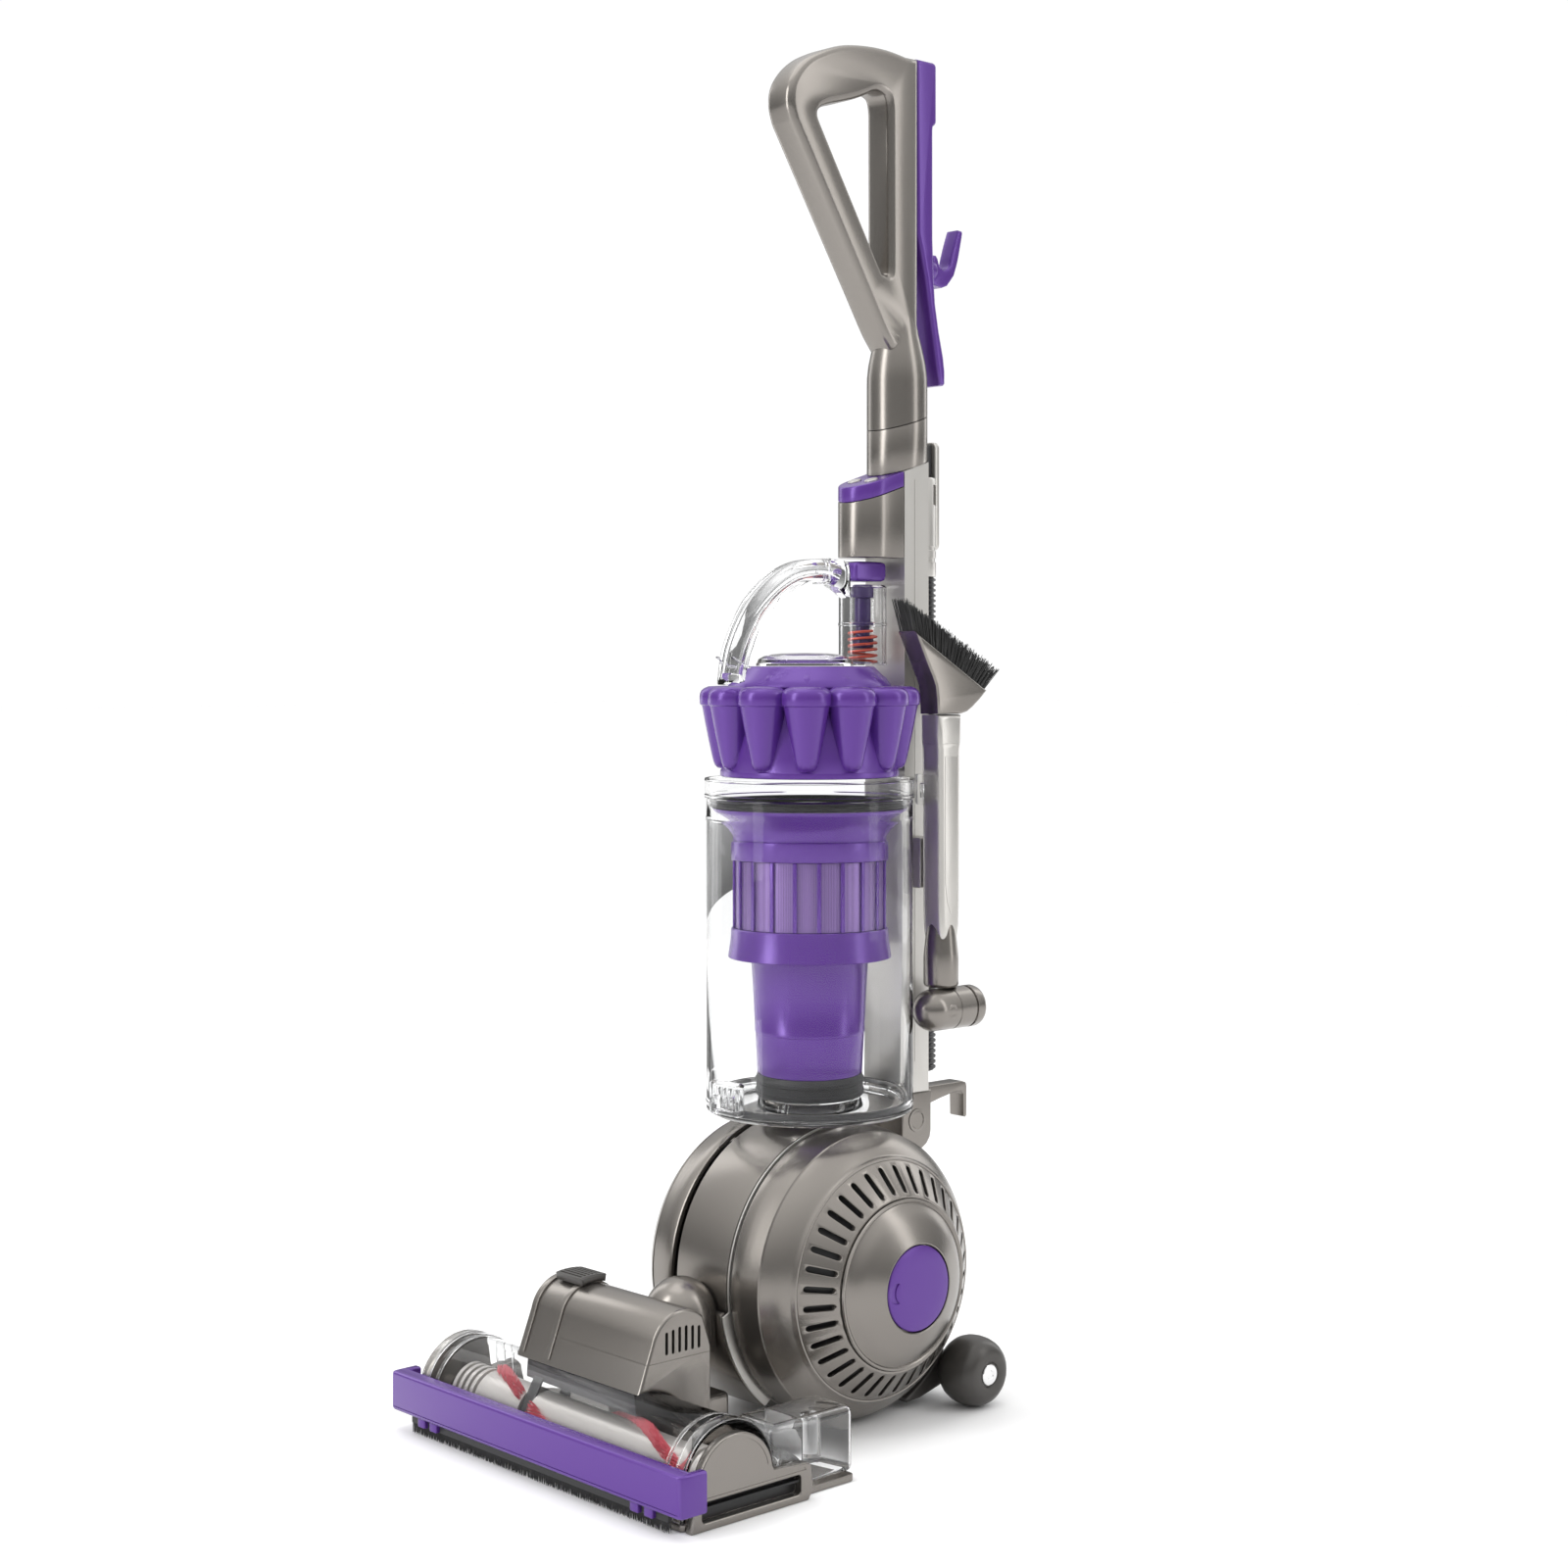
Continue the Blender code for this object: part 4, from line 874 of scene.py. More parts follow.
@dataclass
class Studio:
    """The pale floor, the soft lights and the camera."""

    machine: Machine
    azimuth: float = 47.5
    distance: float = 1.95
    offset: float = 0.0200
    height: float = 0.577
    lens: float = 57.4
    rise: float = -0.0759

    def build(self) -> None:
        """Make the floor, the light and the camera."""
        self.floor()
        self.sky()
        self.lights()
        self.camera()

    def facing(self) -> tuple[Vector, Vector]:
        """The camera's level forward and right directions."""
        turn = math.radians(self.azimuth)
        return Vector((-math.sin(turn), math.cos(turn), 0)), Vector((math.cos(turn), math.sin(turn), 0))

    def floor(self) -> None:
        """A wide pale floor."""
        only(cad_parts["soleplate"])
        bpy.ops.object.select_all(action="DESELECT")
        bpy.ops.mesh.primitive_plane_add(size=60.0, location=(0, 0, -0.0002))
        plane = bpy.context.object
        plane.name = "floor"
        material, _, shader = blank_material("floor_paper")
        shader.inputs["Base Color"].default_value = (0.93, 0.93, 0.93, 1.0)
        shader.inputs["Roughness"].default_value = 0.6
        shader.inputs["Specular IOR Level"].default_value = 0.2
        plane.data.materials.append(material)

    def sky(self) -> None:
        """A world that is white to look at and a soft grey gradient to be lit by."""
        world = bpy.data.worlds.new("studio")
        bpy.context.scene.world = world
        world.use_nodes = True
        nodes, links = world.node_tree.nodes, world.node_tree.links
        lit = nodes["Background"]
        seen = nodes.new("ShaderNodeBackground")
        seen.inputs["Color"].default_value = (1.0, 1.0, 1.0, 1.0)
        seen.inputs["Strength"].default_value = 1.02
        place = nodes.new("ShaderNodeTexCoord")
        split = nodes.new("ShaderNodeSeparateXYZ")
        ramp = nodes.new("ShaderNodeValToRGB")
        shift = nodes.new("ShaderNodeMapRange")
        shift.inputs["From Min"].default_value = -1.0
        ramp.color_ramp.elements[0].position = 0.50
        ramp.color_ramp.elements[0].color = (0.11, 0.11, 0.11, 1.0)
        ramp.color_ramp.elements[1].position = 0.92
        ramp.color_ramp.elements[1].color = (1.45, 1.45, 1.45, 1.0)
        path = nodes.new("ShaderNodeLightPath")
        mix = nodes.new("ShaderNodeMixShader")
        links.new(place.outputs["Generated"], split.inputs[0])
        links.new(split.outputs["Z"], shift.inputs["Value"])
        links.new(shift.outputs["Result"], ramp.inputs["Fac"])
        links.new(ramp.outputs["Color"], lit.inputs["Color"])
        lit.inputs["Strength"].default_value = 1.0
        links.new(path.outputs["Is Camera Ray"], mix.inputs["Fac"])
        links.new(lit.outputs[0], mix.inputs[1])
        links.new(seen.outputs[0], mix.inputs[2])
        links.new(mix.outputs[0], nodes["World Output"].inputs["Surface"])

    def lights(self) -> None:
        """Large soft lights: left, right, above and behind, turned with the camera."""
        forward, right = self.facing()
        target = Vector((0, 0, 0.45))
        plan = (
            ("key", -1.9, -1.1, 1.4, (0.6, 2.2), 25.0),
            ("fill", 2.0, -0.5, 1.2, (0.5, 2.2), 9.0),
            ("top", -0.3, 0.2, 2.7, (1.6, 1.6), 9.0),
            ("back_left", -1.6, 1.6, 1.2, (0.7, 2.2), 8.0),
            ("back_right", 1.7, 1.6, 1.2, (0.7, 2.2), 8.0),
        )
        for name, across, along, up, size, power in plan:
            light = bpy.data.lights.new(name, "AREA")
            light.shape = "RECTANGLE"
            light.size, light.size_y = size
            light.energy = power
            lamp = bpy.data.objects.new(name, light)
            lamp.location = right * across + forward * along + Vector((0, 0, up))
            lamp.rotation_euler = (target - lamp.location).to_track_quat("-Z", "Y").to_euler()
            lamp.visible_camera = False
            bpy.context.scene.collection.objects.link(lamp)

    def camera(self) -> None:
        """A level camera to the machine's front right."""
        forward, right = self.facing()
        camera = bpy.data.cameras.new("camera")
        camera.lens = self.lens
        camera.sensor_width = 36.0
        camera.shift_y = self.rise
        holder = bpy.data.objects.new("camera", camera)
        holder.location = (
            Vector((0, self.machine.ball_y, self.height)) - forward * self.distance - right * self.offset
        )
        holder.rotation_euler = (math.radians(90), 0, math.radians(self.azimuth))
        bpy.context.scene.collection.objects.link(holder)
        bpy.context.scene.camera = holder
        bpy.context.scene.view_settings.view_transform = "Standard"


# ----------------------------------------------------------------------------------------- ball


@dataclass
class Ball(Assembly):
    """The ball: the middle band on the motor bucket and a turning shell with vents on each side."""

    radius: float = BALL_R
    slots: int = 36
    slot_reach: Pair = (0.0675, 0.0862)
    slot_width: float = 0.0046
    vent_in: Pair = (0.0815, 0.0905)
    vent_out: Pair = (0.1025, 0.0645)
    button_r: float = 0.0318

    @property
    def centre(self) -> Pair:
        """The ball's axis, in Y and Z."""
        return (0.0, self.radius)

    def build(self) -> None:
        """Make the band and both halves."""
        self.band()
        for side in Side:
            self.shell(side)
            self.vents(side)
            self.dome(side)
        self.button()
        self.machine.repaint(STEEL, "ball_bearing_left", "ball_bearing_right")
        self.machine.repaint(BLACK, "main_motor")

    def turned(self, name: str, profile: Sequence[Pair], side: Side, steps: int = 160) -> Object:
        """Turn a profile given on the right side, mirrored for the left."""
        return lathe(name, side.mirrored(profile), Axis.X, self.centre, steps)

    def band(self) -> None:
        """The crowned band between the grooves, and the bucket's two side walls."""
        r = self.radius
        crown = arc((0.0, r - 0.3), 0.3, 84.6, 95.4, 9)
        profile = [(0.0285, 0.1035), (0.0285, r - 0.0030), (0.0283, r - 0.0019)] + list(crown)
        profile += [(-0.0283, r - 0.0019), (-0.0285, r - 0.0030), (-0.0285, 0.1035)]
        self.dress(self.turned("ball_band", profile, Side.RIGHT), IRON, "upright", "motor_bucket")
        wall = [
            (0.0250, 0.0080), (0.0250, 0.1030), (0.0275, 0.1030), (0.0280, 0.0800), (0.0270, 0.0760),
            (0.0280, 0.0720), (0.0280, 0.0160), (0.0337, 0.0160), (0.0337, 0.0120), (0.0700, 0.0120),
            (0.0700, 0.0080),
        ]
        for side in Side:
            piece = self.turned(f"bucket_wall_{side.word}", wall, side, 96)
            nodes = ("bucket_cover",) if side is Side.RIGHT else ()
            self.dress(piece, BLACK, "upright", *nodes)

    def shell(self, side: Side) -> None:
        """The smooth outer shell, with the fine groove line at its knee and a raised ridge by the vents."""
        outer = [
            (0.0342, 0.1100), (0.0344, 0.1116), (0.0355, 0.1122), (0.0450, 0.1112), (0.0520, 0.1098),
            (0.0596, 0.1083), (0.0600, 0.1076), (0.0606, 0.1070), (0.0612, 0.1074), (0.0616, 0.1079),
            (0.0660, 0.1052), (0.0705, 0.1018), (0.0750, 0.0976), (0.0785, 0.0936), (0.0800, 0.0920),
            (0.0812, 0.0917), (0.0820, 0.0908), (0.0820, 0.0896),
        ]
        inner = [
            (0.0800, 0.0880), (0.0760, 0.0925), (0.0700, 0.0985), (0.0640, 0.1030), (0.0590, 0.1052),
            (0.0500, 0.1075), (0.0342, 0.1086),
        ]
        piece = self.turned(f"shell_{side.word}", outer + inner, side)
        self.dress(piece, IRON, f"ball_{side.word}", f"ball_shell_{side.word}", angle=40)

    def vents(self, side: Side) -> None:
        """The conical ring with its round-ended slots, and the dark liner behind it."""
        (x_in, r_in), (x_out, r_out) = self.vent_in, self.vent_out
        slope = (x_out - x_in) / (r_in - r_out)
        thick = 0.0024
        ring = self.turned(
            f"vent_ring_{side.word}",
            [
                (x_in - 0.0005, r_in - 0.0012), (x_in + 0.0006, r_in - 0.0010),
                (x_out - 0.0006, r_out + 0.0014),
                (x_out - 0.0006, r_out - 0.0004), (x_out - thick - 0.0006, r_out - 0.0004),
                (x_in - thick, r_in - 0.0030),
            ],
            side,
            144,
        )
        low, high = self.slot_reach
        half = self.slot_width / 2
        outline = arc((high - half, 0.0), half, -90, 90, 7) + arc((low + half, 0.0), half, 90, 270, 7)
        cutter = slab("slot", [outline], Axis.Z, (-0.02, 0.02), 0.0002)
        middle = (low + high) / 2
        tip = x_in + (r_in - middle) * slope
        cutter.data.transform(Matrix.Translation((0, 0, tip)))
        cutter.data.transform(
            Axis.X.frame() if side is Side.RIGHT else Matrix.Rotation(math.pi, 4, "Z") @ Axis.X.frame()
        )
        cutter.data.transform(Matrix.Translation((0, 0, self.radius)))
        turns = [
            about(Axis.X, (0, 0, self.radius), math.tau * (k + 0.5) / self.slots) for k in range(self.slots)
        ]
        cut(ring, close_up(scattered("slots", cutter, turns)))
        soften(ring, 0.0004, 2, 50)
        self.dress(ring, IRON, f"ball_{side.word}", angle=40)
        liner = self.turned(
            f"vent_liner_{side.word}",
            [
                (x_in - 0.0065, r_in - 0.0050), (x_in - 0.0050, r_in - 0.0050),
                (x_out - 0.0070, r_out - 0.0030),
                (x_out - 0.0085, r_out - 0.0030),
            ],
            side,
            96,
        )
        self.dress(liner, BLACK, f"ball_{side.word}")

    def dome(self, side: Side) -> None:
        """The dome inside the vents: a bright lip, a crowned cone and a seat for the button."""
        x_out, r_out = self.vent_out
        rim = self.button_r + 0.0010
        outer = [
            (x_out - 0.0060, r_out - 0.0022), (x_out + 0.0004, r_out - 0.0006),
            (x_out + 0.0016, r_out - 0.0012),
            (x_out + 0.0018, r_out - 0.0026), (x_out + 0.0012, r_out - 0.0036),
            (x_out + 0.0022, r_out - 0.0054),
            (0.1085, 0.0555), (0.1120, 0.0490), (0.1150, 0.0430), (0.1172, 0.0380), (0.1186, 0.0348),
        ]
        if side is Side.RIGHT:
            outer += [
                (0.1190, 0.0338), (0.1188, rim + 0.0002), (0.1180, rim), (0.1128, rim), (0.1128, 0.0210)
            ]
        else:
            outer += [(0.1192, 0.0320), (0.1190, 0.0312), (0.1198, 0.0280), (0.1203, 0.0150), (0.1204, 0.0)]
            outer += [(0.1130, 0.0), (0.1130, 0.0210)]
        back = [(0.0608, 0.0210), (0.0608, 0.0240), (0.1095, 0.0240), (0.1095, 0.0370), (0.1000, 0.0560)]
        piece = self.turned(f"dome_cap_{side.word}", outer + back, side)
        self.dress(piece, IRON, f"ball_{side.word}", f"dome_{side.word}", angle=35)

    def button(self) -> None:
        """The purple button with its crescent thumb recess."""
        r = self.button_r
        profile = [
            (0.1136, 0.0), (0.1136, r), (0.1184, r), (0.1192, r - 0.0006), (0.1200, r - 0.0040),
            (0.1206, 0.0180), (0.1209, 0.0080), (0.1210, 0.0),
        ]
        piece = lathe("lock_button", profile, Axis.X, self.centre, 128)
        y = -0.0235
        crescent = lathe(
            "thumb", [(0.1192, 0.0), (0.1192, 0.0072), (0.1230, 0.0088), (0.1230, 0.0)], Axis.X,
            (y, self.radius), 48,
        )
        keep = round_bar("thumb_keep", (0.1180, 0.1240), 0.0090, Axis.X, (y + 0.0075, self.radius), 48)
        cut(crescent, keep)
        cut(piece, crescent)
        soften(piece, 0.0003, 2, 40)
        self.dress(piece, PURPLE, "ball_button", "ball_button")


@dataclass
class Yoke(Assembly):
    """The yoke's thin plates in the ball's grooves, with the saddle and elbow that carry them."""

    radius: float = BALL_R
    neck_y: float = NECK_Y

    def build(self) -> None:
        """Make both plates and the saddle with its elbow."""
        centre = (0.0, self.radius)
        foot = arc(centre, 0.1182, 189, 231, 16)
        for side in Side:
            reach = 0.1112 if side is Side.RIGHT else 0.1085
            outline = arc(centre, reach, 232 - 360, 188, 120) + foot
            holed = [outline, circle(centre, PIVOT_ROOM, 48)]
            plate = slab(f"groove_plate_{side.word}", holed, Axis.X, side.span(0.0292, 0.0308), 0.0003)
            finish = SILVER if side is Side.RIGHT else IRON
            self.dress(plate, finish, "yoke", f"yoke_plate_{side.word}")
        self.saddle()

    def saddle(self) -> None:
        """The curved saddle under the ball's front, and the round elbow on the swivel."""
        centre = (0.0, self.radius)
        outline = arc(centre, 0.1137, 188, 232, 40) + arc(centre, 0.1185, 232, 188, 40)
        saddle = slab("saddle", [outline], Axis.X, (-0.0285, 0.0285), 0.0012)
        crown = arc((0.0, 0.0950), 0.0269, 0, 88, 24)
        profile = [
            (0.0686, 0.0), (0.0686, 0.0262), (0.0692, 0.0268), (0.0760, 0.0268), (0.0764, 0.0262),
            (0.0770, 0.0268),
        ]
        profile += [(height, radius) for radius, height in crown] + [(0.1219, 0.0)]
        elbow = lathe("elbow", profile, Axis.Z, (0.0, self.neck_y), 96)
        ball = round_bar("ball_space", (-0.05, 0.05), 0.1137, Axis.X, centre, 192)
        piece = cut(unite(saddle, elbow), ball)
        piece.name = "saddle_and_elbow"
        self.dress(piece, IRON, "yoke", "yoke_saddle", angle=35)


@dataclass
class Stand(Assembly):
    """The folding stand behind the ball, with two barrel wheels."""

    radius: float = BALL_R
    wheel_y: float = 0.0940
    wheel_z: float = 0.0270

    def build(self) -> None:
        """Make the cradle, the arms and the wheels."""
        centre = (0.0, self.radius)
        cradle = arc(centre, 0.1140, -66, -40, 24)
        cradle += flowing(
            [(0.0985, 0.0355), (0.1035, 0.0270), (0.0980, 0.0160), (0.0850, 0.0115), (0.0620, 0.0058)], 5
        )
        cradle.append((0.0480, 0.0050))
        body = slab("stand_cradle", [cradle], Axis.X, (-0.0600, 0.0600), 0.0022)
        for x in (-0.0400, 0.0400):
            cut(body, block("relief", (x - 0.0130, x + 0.0130), (0.0600, 0.0900), (-0.01, 0.0185), 0.0015))
        arm = arc(centre, 0.0260, 52, 202, 40) + arc(centre, 0.1155, -64, -42, 24)
        for side in Side:
            unite(
                body,
                slab("arm", [arm, circle(centre, PIVOT_ROOM, 48)], Axis.X, side.span(0.0316, 0.0334), 0.0003),
            )
        cut(body, round_bar("pin_room", (-0.07, 0.07), 0.0053, Axis.X, (self.wheel_y, self.wheel_z), 32))
        self.dress(body, WHEEL, "stand", "stand", angle=35)
        self.machine.repaint(CHROME, "wheel_axle")
        for side in Side:
            self.wheel(side)

    def wheel(self, side: Side) -> None:
        """A barrel wheel with a dished outer face, and its screw."""
        profile = [
            (0.0655, 0.0055), (0.0655, 0.0170), (0.0662, 0.0185), (0.0690, 0.0215), (0.0735, 0.0246),
            (0.0790, 0.0264),
            (0.0850, 0.0270), (0.0910, 0.0266), (0.0965, 0.0252), (0.1005, 0.0228), (0.1032, 0.0198),
            (0.1043, 0.0170), (0.1045, 0.0120), (0.1041, 0.0100), (0.1030, 0.0092), (0.1024, 0.0055),
        ]
        tyre = lathe(
            f"stand_wheel_barrel_{side.word}", side.mirrored(profile), Axis.X, (self.wheel_y, self.wheel_z),
            96,
        )
        self.dress(tyre, WHEEL, f"wheel_{side.word}", f"stand_wheel_{side.word}")
        head = [
            (0.1028, 0.0), (0.1028, 0.0080), (0.1040, 0.0080), (0.1044, 0.0074), (0.1046, 0.0035),
            (0.1040, 0.0030), (0.1040, 0.0),
        ]
        screw = lathe(
            f"wheel_screw_{side.word}", side.mirrored(head), Axis.X, (self.wheel_y, self.wheel_z), 48
        )
        self.dress(screw, CHROME, f"wheel_{side.word}")


# ----------------------------------------------------------------------------------- floor head


@dataclass
class FloorHead(Assembly):
    """The wide head: soleplate, end plates, clear cover, rear box, bumper, bristle strip, neck socket and
    belt guard; MotorHousing makes the housing on it.
    """

    half: float = 0.1620
    arch: Pair = ARCH_AXIS
    arch_r: float = 0.0398

    def build(self) -> None:
        """Make each piece of the head in turn."""
        self.sole()
        for side in Side:
            self.end_plate(side)
        self.cover()
        self.rear_box()
        self.bumper()
        self.bristle_strip()
        self.neck()
        self.belt_guard()
        self.machine.repaint(RUBBER, "drive_belt")
        self.machine.repaint(BLACK, "motor_pulley")
        self.machine.repaint(STEEL, "brush_motor")

    def sole(self) -> None:
        """The soleplate with its brush window and four shallow grooves in its underside."""
        window = rounded((-0.1450, 0.1450), (-0.2450, -0.1930), 0.0030)
        plate = slab(
            "sole", [rounded((-0.1540, 0.1540), (-0.2598, -0.1000), 0.0040), window], Axis.Z, (0.0, 0.0050),
            0.0008,
        )
        for x in (-0.1080, -0.0360, 0.0360, 0.1080):
            groove = block("groove", (x - 0.0030, x + 0.0030), (-0.1890, -0.1040), (-0.0010, 0.0008), 0.0)
            cut(plate, groove)
        self.dress(plate, IRON, "floor_head", "soleplate", angle=35)

    def end_plate(self, side: Side) -> None:
        """An arched end plate with its long edge slot, a recessed face, a dark strip in the slot and a black
        sheet of painted shade behind the slot.
        """
        foot = [(-0.1840, 0.0275), (-0.1530, 0.0262), (-0.1498, 0.0240), (-0.1480, 0.0060), (-0.1520, 0.0)]
        outline = [(-0.2580, 0.0)] + arc(self.arch, 0.0335, 180, 8, 40) + foot
        slot = rounded((-0.2490, -0.1590), (0.0055, 0.0190), 0.0030)
        plate = slab(f"end_arch_{side.word}", [outline, slot], Axis.X, side.span(0.1545, self.half), 0.0010)
        face = side.value * self.half
        inset = sorted((face - side.value * 0.0007, face + side.value * 0.0020))
        panel = [(-0.2490, 0.0215)] + arc(self.arch, 0.0300, 172, 12, 36) + [
            (-0.1560, 0.0235), (-0.1545, 0.0215)
        ]
        cut(plate, slab("panel", [panel], Axis.X, tuple(inset), 0.0003))
        self.dress(plate, IRON, "floor_head", f"end_plate_{side.word}", angle=35)
        lip = rounded((-0.2486, -0.1594), (0.0136, 0.0152), 0.0006)
        strip = slab(f"edge_lip_{side.word}", [lip], Axis.X, side.span(0.1560, 0.1600), 0.0003)
        self.dress(strip, RUBBER, "floor_head")
        # Painted shade: a thin black sheet closes the back of the slot, standing for the shadow in the
        # opening.
        back = rounded((-0.2486, -0.1594), (0.0058, 0.0187), 0.0028)
        liner = slab(f"edge_slot_painted_shade_{side.word}", [back], Axis.X, side.span(0.1546, 0.1554), 0.0002)
        self.dress(liner, BLACK, "floor_head")

    def cover(self) -> None:
        """The clear arch over the brush, open under the housing, with stepped rings at its ends."""
        half = 0.1538
        y, z = self.arch
        floor = 0.0053

        def shell(name: str, outer: float, inner: float, x: Pair) -> Object:
            """An arch with a wall between two radii."""
            outline = [(y + outer, floor)] + arc((y, z), outer, 0, 180, 48) + [(y - outer, floor)]
            outline += [(y - inner, floor)] + arc((y, z), inner, 180, 0, 48) + [(y + inner, floor)]
            return slab(name, [outline], Axis.X, x, 0.0004)

        cover = shell("clear_arch", self.arch_r, self.arch_r - 0.0020, (-half, half))
        cut(cover, block("housing_room", (-0.0710, 0.0595), (-0.2235, -0.1835), (0.0400, 0.0700), 0.0))
        self.dress(cover, CLEAR_WALL, "floor_head", "brush_cover", angle=35)
        rings = []
        for start, end, reach in ((0.1440, 0.1538, 0.0412), (0.1330, 0.1362, 0.0408)):
            for side in Side:
                rings.append(shell("cover_ring", reach, self.arch_r + 0.0001, side.span(start, end)))
        self.dress(gather("cover_rings", rings), CLEAR, "floor_head", angle=35)

    def rear_box(self) -> None:
        """The clear box behind the cover's right end, hollow, with a round post and ribs."""
        box = block("clear_rear_box", (0.1120, 0.1538), (-0.1780, -0.1002), (0.0060, 0.0540), 0.0060)
        cut(box, block("hollow", (0.1138, 0.1520), (-0.1765, -0.1018), (0.0000, 0.0524), 0.0040))
        parts = [box]
        post = [(0.0200, 0.0), (0.0200, 0.0070), (0.0475, 0.0070), (0.0475, 0.0)]
        parts.append(lathe("post", post, Axis.Z, (0.1340, -0.1250), 40))
        parts.append(block("rib", (0.1142, 0.1516), (-0.1500, -0.1488), (0.0220, 0.0520), 0.0003))
        parts.append(
            slab(
                "tab", [rounded((0.0940, 0.1100), (-0.1800, -0.1500), 0.0040)], Axis.Z, (0.0300, 0.0335),
                0.0010,
            )
        )
        parts.append(
            lathe(
                "tab_pin", [(0.0340, 0.0), (0.0340, 0.0050), (0.0440, 0.0046), (0.0440, 0.0)], Axis.Z,
                (0.1020, -0.1660), 32,
            )
        )
        self.dress(gather("clear_rear_box", parts), CLEAR, "floor_head", angle=35)

    def bumper(self) -> None:
        """The purple bumper with its end lips, a fine parting line and two feet."""
        outline = [
            (-0.1700, -0.2700), (-0.1688, -0.2736), (-0.1655, -0.2750), (0.1655, -0.2750), (0.1688, -0.2736),
            (0.1700, -0.2700), (0.1700, -0.2520), (0.1690, -0.2512), (0.1640, -0.2512), (0.1632, -0.2520),
            (0.1632, -0.2618), (-0.1632, -0.2618), (-0.1632, -0.2520), (-0.1640, -0.2512), (-0.1690, -0.2512),
            (-0.1700, -0.2520),
        ]
        bar = slab("bumper_bar", [outline], Axis.Z, (0.0150, 0.0440), 0.0022)
        cut(bar, block("line", (-0.2, 0.2), (-0.2770, -0.2744), (0.0178, 0.0184), 0.0))
        self.dress(bar, PURPLE, "floor_head", "bumper", angle=35)
        feet = []
        for x in (0.1180, 0.1330, -0.1330, -0.1180):
            feet.append(block("foot", (x - 0.0045, x + 0.0045), (-0.2725, -0.2645), (0.0080, 0.0160), 0.0012))
        self.dress(gather("bumper_feet", feet), PURPLE, "floor_head")

    def belt_guard(self) -> None:
        """The dark guard round the belt, between the brush and the housing's open floor."""
        outline = [
            (-0.2216, 0.0497), (-0.2216, 0.0632), (-0.2140, 0.0660), (-0.1930, 0.0660), (-0.1845, 0.0560),
            (-0.1845, 0.0497),
            (-0.1865, 0.0497), (-0.1865, 0.0552), (-0.1940, 0.0642), (-0.2134, 0.0642), (-0.2196, 0.0618),
            (-0.2196, 0.0497),
        ]
        walls = [slab("guard_wall", [outline], Axis.X, (-0.0680, 0.0560), 0.0006)]
        for x in (-0.0680, 0.0540):
            walls.append(block("guard_end", (x, x + 0.0020), (-0.2210, -0.1850), (0.0497, 0.0650), 0.0006))
        self.dress(gather("belt_guard", walls), BLACK, "floor_head", angle=35)

    def bristle_strip(self) -> None:
        """The strip of short bristles under the bumper, in tufts."""
        draw = random.Random(4)
        back = block("strip_back", (-0.1500, 0.1500), (-0.2690, -0.2652), (0.0080, 0.0146), 0.0004)
        down = Matrix.Rotation(math.pi, 4, "X")
        places = []
        for index in range(280):
            x = -0.1492 + 0.2984 * index / 279
            for row in (-0.2682, -0.2670, -0.2660):
                lean = Matrix.Rotation(
                    draw.uniform(-0.12, 0.12), 4, "Y"
                ) @ Matrix.Rotation(draw.uniform(-0.1, 0.1), 4, "X")
                places.append(Matrix.Translation((x, row, 0.0086)) @ lean @ down)
        hairs = scattered("strip_hairs", strand(0.0004, 0.0078, 0.6), places)
        self.dress(
            gather("front_bristles", [back, hairs]), BRISTLE, "floor_head", "front_bristle_strip"
        )

    def neck(self) -> None:
        """The duct behind the cover and the round socket that the elbow turns on."""
        duct = block("duct", (-0.0340, 0.0340), (-0.1785, -0.1120), (0.0053, 0.0400), 0.0040)
        socket = [
            (0.0100, 0.0176), (0.0100, 0.0200), (0.0480, 0.0200), (0.0484, 0.0206), (0.0520, 0.0206),
            (0.0524, 0.0200),
            (0.0640, 0.0200), (0.0646, 0.0210), (0.0676, 0.0210), (0.0680, 0.0206), (0.0680, 0.0176),
        ]
        unite(duct, lathe("socket", socket, Axis.Z, (0.0, NECK_Y), 80))
        cut(duct, round_bar("bore", (-0.01, 0.08), 0.0176, Axis.Z, (0.0, -0.1320), 80))
        self.dress(duct, IRON, "floor_head", "neck_socket", angle=35)


